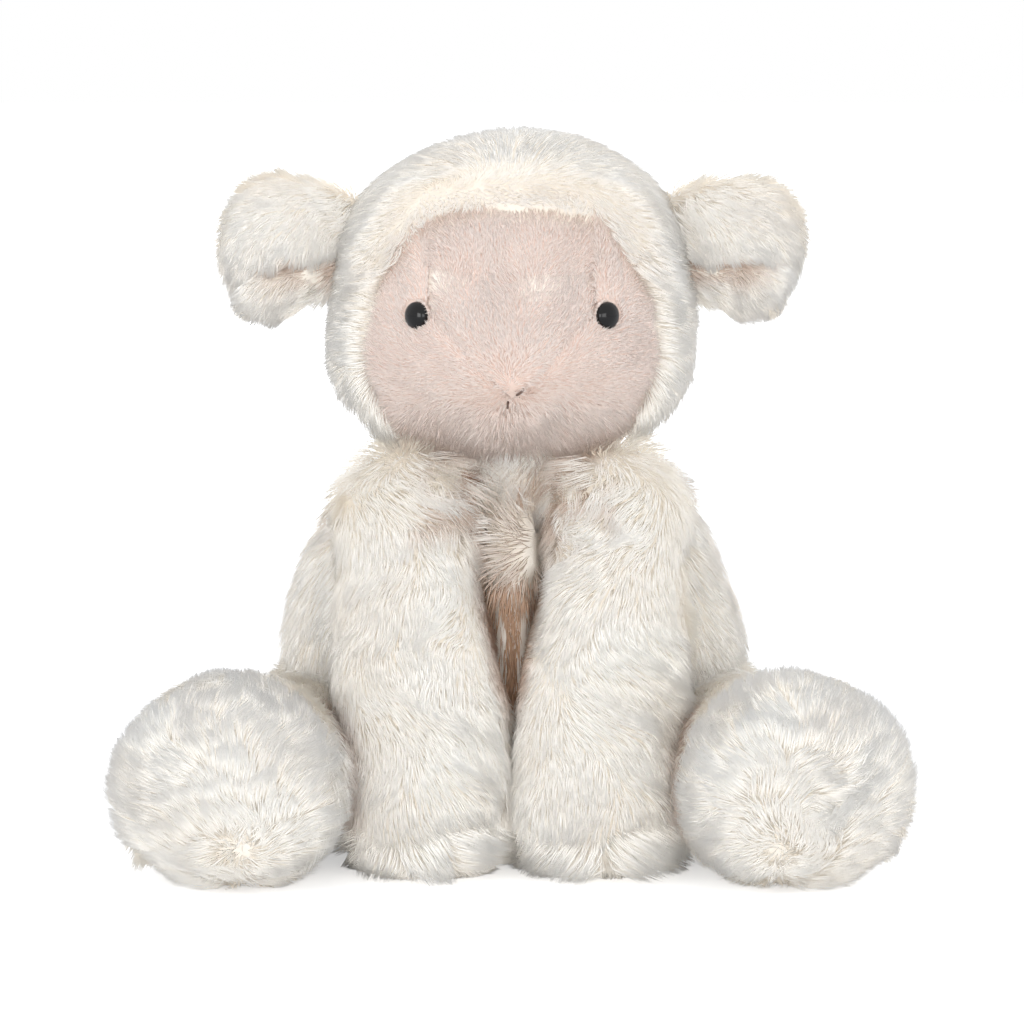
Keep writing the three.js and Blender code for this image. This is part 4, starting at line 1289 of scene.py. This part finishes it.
for name, side in SIDES.items():
    bag, body = forelegs[name], f"{name}_foreleg"
    mesh = bag_mesh(shaped_leg(cloth_grid(bag, 84, 72, CLOTH, lumps=0.6, seed=73), side))
    closed_piece(f"{name}_foreleg_cloth", mesh, ivory_cloth, body, f"{name}_foreleg_cover")
    sheet = shaped_leg(bag_sheet(bag), side)
    sheet[..., 2] = np.maximum(sheet[..., 2], FLOOR_GAP)
    roots, normals = free_roots(sheet, hairs(32000), [(trunk, -9)], 0.6, 73)
    off_middle = np.abs(roots[:, 0]) > 1.2 * MM
    roots, normals = roots[off_middle], normals[off_middle]
    x, y, z = in_mm(roots)
    outer_x = side * x
    high = ramp(z, 96, 108)
    inner = np.clip((8 + 10 * ramp(z, 50, 62) - outer_x) / 6, 0, 1) * (1 - high) * ramp(z, 48, 60)
    zone = high * ramp(outer_x, 38, 18) * (y < -35)
    top, paw = ramp(z, 116, 128), ramp(z, 26, 16) * (y < -60)
    comb = foreleg_comb(roots, normals, bag, FANS[name], side)
    comb = flattened(comb + zone[:, None] * [-side * 0.35, -0.5, 0.0], normals)
    comb = turned(comb, normals, 1.4 * zone * drift(roots, 0.016, 78))
    length = (13.5 + 5.0 * top + 6.0 * paw + 1.0 * zone + 1.5 * drift(roots, 0.03, 74)) * MM
    # Painted shade: warm brown between the two legs, where they meet the hind legs, and in the chest
    # ruffles under the chin.
    between = np.clip((7 + apart(z) - outer_x) / 6, 0, 1) * np.maximum(ramp(y, -92, -78), 0.55)
    painted_shade = between * np.interp(z, [48, 62, 98, 110], [0, 1, 0.8, 0.15])
    painted_shade = np.maximum(painted_shade, 0.4 * contact_shade(roots, hind_legs[name]))
    ruffle_shade = ramp(z, 100, 116) * ramp(outer_x, 40, 16)
    painted_shade = painted_shade + 0.42 * ruffle_shade * (0.6 + drift(roots, 0.012, 77))
    loose = np.maximum(top, zone)
    pile(f"{name}_foreleg_pile", roots, normals, comb, length * (1 - 0.45 * inner), body,
         76 if side > 0 else 75, painted_shade, rise=(28 + 18 * loose + 4 * paw, 6 + 14 * loose + 5 * paw),
         mess=0.13 + 0.3 * zone, draw=0.16 + 0.36 * np.maximum(paw, zone))

# %% [markdown]
# Each hind leg is a cone-shaped cover that ends at a seam round the foot, and a round sole is sewn
# in there. The soles face forwards, and their pile lies in a swirl that starts low on the side
# towards the middle.

# %% Hind legs
SEAM_SHARE = 0.004


def sole_way(bag, start=6 * MM):
    """The share of the way at which the last cap has moved on by a given length."""
    _, second, _ = bag_portions(bag)
    angle = np.arcsin((start / bag["caps"][1]) ** (bag["powers"][1] / 2))
    return second + (1 - second) * angle / (np.pi / 2)


def swirl(roots, normals, fan, along, side):
    """Away from the swirl's middle, turned and curled where the sole faces forwards."""
    near = bell(np.linalg.norm(roots - fan, axis=1), 0, 7 * MM)
    stray = np.random.default_rng(87).normal(size=len(roots)) * near
    curly = 1.1 if side > 0 else 0.7
    turn = side * 0.4 + curly * drift(roots, 0.035, 84) + 0.4 * drift(roots, 0.014, 88)
    facing = np.clip(normals @ along, 0, 1) ** 2
    return turned(flattened(roots - fan, normals), normals, turn * facing + stray)


for name, side in SIDES.items():
    bag, body, foreleg = hind_legs[name], f"{name}_hind_leg", forelegs[name]
    along, seam = unit(bag["spine"]), sole_way(bag)
    for part, node, rows, ends in (("cover", f"{name}_hind_leg_cover", 60, (0.0, seam - SEAM_SHARE)),
                                   ("sole", f"{name}_hind_sole", 26, (seam + SEAM_SHARE, 1.0))):
        grid = cloth_grid(bag, rows, 76, CLOTH, [(foreleg, 0.0)], *ends, lumps=0.6, seed=81)
        closed_piece(f"{name}_hind_{part}_cloth", bag_mesh(grid), ivory_cloth, body, node)

    fan = bag["start"] + bag["spine"] + along * 27 * MM + np.array([-side * 11, 0, -17]) * MM
    for part, first, last, count, wave_seed, steep in (
            ("cover", 0.0, seam, 20000, 83, 30), ("sole", seam, 1.0, 14500, 85, 31)):
        sole = part == "sole"
        sheet = bag_sheet(bag, first=first, last=last)
        roots, normals = free_roots(sheet, hairs(count), [(trunk, -9), (foreleg, -4)], 0.6, 81)
        near = bag_depth(foreleg, roots, 3 * MM) < 1
        roots[near] = pressed(roots[near], -normals[near], [(foreleg, 0.0)], 1.5 * MM)
        x, _, z = in_mm(roots)
        if sole:
            comb = swirl(roots, normals, fan, along, side)
        else:
            forwards = np.broadcast_to(along - UP * 0.45, roots.shape)
            comb = turned(flattened(forwards, normals), normals, 0.4 * drift(roots, 0.05, 82))
        low = ramp(z, 15, 5)
        comb = flattened(mixed(low, comb, unit((normals + 0.4 * comb) * [1, 1, 0.0])), normals)
        outer = ramp(side * x, 90, 110) * np.interp(z, [4, 14, 30, 44, 58], [0, 1, 0.4, 0, -0.7])
        length = (14.0 + 1.2 * drift(roots, 0.03, wave_seed) + 3.5 * outer) * MM
        length = np.where(near, length * 0.5, length * (1 - 0.15 * low))
        lift = np.clip(outer, 0, 1)
        # Painted shade where the foreleg meets the hind leg.
        pile(f"{name}_hind_{part}_pile", roots, normals, comb, length, body, 87 if side > 0 else 86,
             0.45 * contact_shade(roots, foreleg), rise=(steep + 8 * lift, 8 + 4 * lift),
             draw=0.3 if sole else 0.1)

# %% [markdown]
# The tail is a small tuft low on the back.

# %% Tail
TAIL_CLOTH = -2.5 * MM
mesh = bag_mesh(cloth_grid(tail, 30, 36, TAIL_CLOTH, lumps=0.2))
closed_piece("tail_cloth", mesh, ivory_cloth, "tail", "tail")
roots, normals = free_roots(bag_sheet(tail, TAIL_CLOTH), hairs(4200), [(trunk, -2)])
comb = flattened(np.broadcast_to(unit(tail["spine"]), roots.shape) - 0.3 * UP, normals)
pile("tail_pile", roots, normals, comb, 11 * MM, "tail", 91, width=0.48, rise=(40, 12), droop=0.15,
     mess=0.2)

# %% [markdown]
# Inside the covers lies the filling: loose fibre in the trunk, head, neck and legs, and a small bag
# of pellets low in the seat, which makes the toy sit steadily. The fibre gives way to the eye
# washers and to the pellet bag.

# %% Filling
FILL_DEPTH = -9.3 * MM
LEG_ROOM = 4.6 * MM


def filling(name, grid, body, node, material=fibre):
    """A closed body of filling that stands for one solid."""
    closed_piece(name, bag_mesh(grid), material, body, node)


pellets = oval_bag((0, 16.9, 26.8), (0, 17.4, 26.8), 56, 25.4, (24.9, 24.9))
grid = cloth_grid(pellets, 30, 40, -0.3 * MM, lumps=0.15)
filling("pellet_bag_cloth", grid, "trunk", "seat_pellet_bag", bag_weave)
grid = cloth_grid(pellets, 30, 40, -1.8 * MM, lumps=0.2, seed=2)
filling("pellet_filling", grid, "trunk", "seat_pellets", pellet_grey)

leg_room = [(bag, LEG_ROOM) for bag, _ in trunk_neighbours]
grid = cloth_grid(trunk, 60, 72, FILL_DEPTH, leg_room, lumps=0.5, seed=92)
x, y, z = in_mm(grid)
inside = ramp(np.hypot(x / 31, (y - 17) / 28), 1.12, 0.96)
grid[..., 2] = np.where(z < 43, z * (1 - inside) + 43 * inside, z) * MM
filling("body_fibre", grid, "trunk", "body_stuffing")

washers = []
for name, side in SIDES.items():
    centre = (EYES[name] - [0, 2.5 * MM, 0] - eye_axis(side) * 10.5 * MM) / MM
    washers.append((oval_bag(centre, centre + [0, 0.1, 0], 18, 18, (9, 9)), 0.0))
grid = cloth_grid(head, 70, 80, -9.0 * MM, [*washers, (neck, 1.0 * MM)], lumps=0.3, seed=93)
filling("head_fibre", pulled_in(grid), "head", "head_stuffing")
filling("neck_fibre", cloth_grid(neck, 20, 32, -0.8 * MM, lumps=0.2), "neck", "neck_stuffing")
for name in SIDES:
    grid = cloth_grid(forelegs[name], 50, 44, FILL_DEPTH, lumps=0.4, seed=94)
    filling(f"{name}_foreleg_fibre", grid, f"{name}_foreleg", f"{name}_foreleg_stuffing")
    pressing = [(forelegs[name], LEG_ROOM)]
    grid = cloth_grid(hind_legs[name], 50, 44, FILL_DEPTH, pressing, lumps=0.4, seed=95)
    filling(f"{name}_hind_leg_fibre", grid, f"{name}_hind_leg", f"{name}_hind_leg_stuffing")
print("filling pieces made")

# %% [markdown]
# A white floor and plain soft light: a large lamp at the front left, a larger one at the front right
# and one behind. The world is a little warmer below and a little cooler above. Rays that come
# straight from the camera see the background white and the floor slightly brighter, so both read as
# white paper, while the floor still takes the shadow.

# %% Floor, world and lights
def floor_finish():
    """Plain white, with a small extra glow that only the camera sees."""
    finish = Finish("floor_white", Roughness=0.9, Specular_IOR_Level=0.1, Emission_Strength=1.0)
    paper = finish.noise(40.0, 2.0)
    finish.feed("Base Color", finish.blend(paper, tone(240, 240, 240), tone(243, 243, 243)))
    seen = finish.add("ShaderNodeLightPath", output="Is Camera Ray")
    place = finish.add("ShaderNodeTexCoord", output="Object")
    distance = finish.add("ShaderNodeVectorMath", dict(operation="LENGTH"), {0: place}, output="Value")
    far = finish.add("ShaderNodeMapRange", None, {"Value": distance, "From Min": 0.3, "From Max": 0.9})
    glow = finish.blend(far, (0.45, 0.45, 0.45), (1.0, 1.0, 1.0))
    finish.feed("Emission Color", finish.blend(seen, (0.0, 0.0, 0.0), glow))
    return finish.material


def studio_world():
    """Warm below and cool above, and white for the camera, in mirrors and through glass."""
    world = bpy.data.worlds.new("studio")
    world.use_nodes = True
    sky = Nodes(world.node_tree)
    place = sky.add("ShaderNodeTexCoord", output="Generated")
    upward = sky.add("ShaderNodeSeparateXYZ", None, {0: place}, output="Z")
    height = sky.add("ShaderNodeMapRange", None, {"Value": upward, "From Min": -0.2, "From Max": 0.8})
    colour = sky.blend(height, (1.05, 1.0, 0.94), (0.95, 0.98, 1.03))
    for ray in ("Is Glossy Ray", "Is Transmission Ray", "Is Camera Ray"):
        colour = sky.blend(sky.add("ShaderNodeLightPath", output=ray), colour, (1.0, 1.0, 1.0))
    sky.put(sky.tree.nodes["Background"].inputs["Color"], colour)
    return world


def lamp(name, place, target, size, power):
    """A square area light at a place, turned towards a target."""
    light = bpy.data.lights.new(name, "AREA")
    light.size, light.energy, light.color = size, power, (0.98, 0.98, 0.97)
    holder = bpy.data.objects.new(name, light)
    bpy.context.scene.collection.objects.link(holder)
    holder.location = place
    holder.rotation_mode = "QUATERNION"
    holder.rotation_quaternion = (holder.location - type(holder.location)(target)).to_track_quat("Z", "Y")


floor_mesh = bpy.data.meshes.new("floor")
floor_mesh.from_pydata([(-8, -3, 0), (8, -3, 0), (8, 14, 0), (-8, 14, 0)], [], [(0, 1, 2, 3)])
floor_mesh.materials.append(floor_finish())
floor = bpy.data.objects.new("floor", floor_mesh)
bpy.context.scene.collection.objects.link(floor)
bpy.context.scene.world = studio_world()
lamp("key", (-0.9, -1.7, 0.2), (0, -0.02, 0.1), 0.9, 11.4)
lamp("fill", (0.6, -1.7, 0.02), (0, -0.02, 0.1), 1.2, 14.2)
lamp("back", (0.4, 1.7, 0.3), (0, 0.02, 0.1), 1.2, 9.0)

# %% [markdown]
# The camera stands far away and slightly above, as in the photograph, so the far side hardly shrinks.

# %% Camera
ELEVATION, DISTANCE = math.radians(6.5), 1.4
target = np.array([0, -0.040, 0.111])
camera_data = bpy.data.cameras.new("camera")
camera_data.lens = 149.1
camera_data.sensor_width = 36
camera = bpy.data.objects.new("camera", camera_data)
bpy.context.scene.collection.objects.link(camera)
camera.location = target + DISTANCE * np.array([0, -math.cos(ELEVATION), math.sin(ELEVATION)])
camera.rotation_euler = (math.pi / 2 - ELEVATION, 0, 0)
bpy.context.scene.camera = camera
bpy.context.scene.view_settings.view_transform = "Standard"
print("camera at", tuple(camera.location))
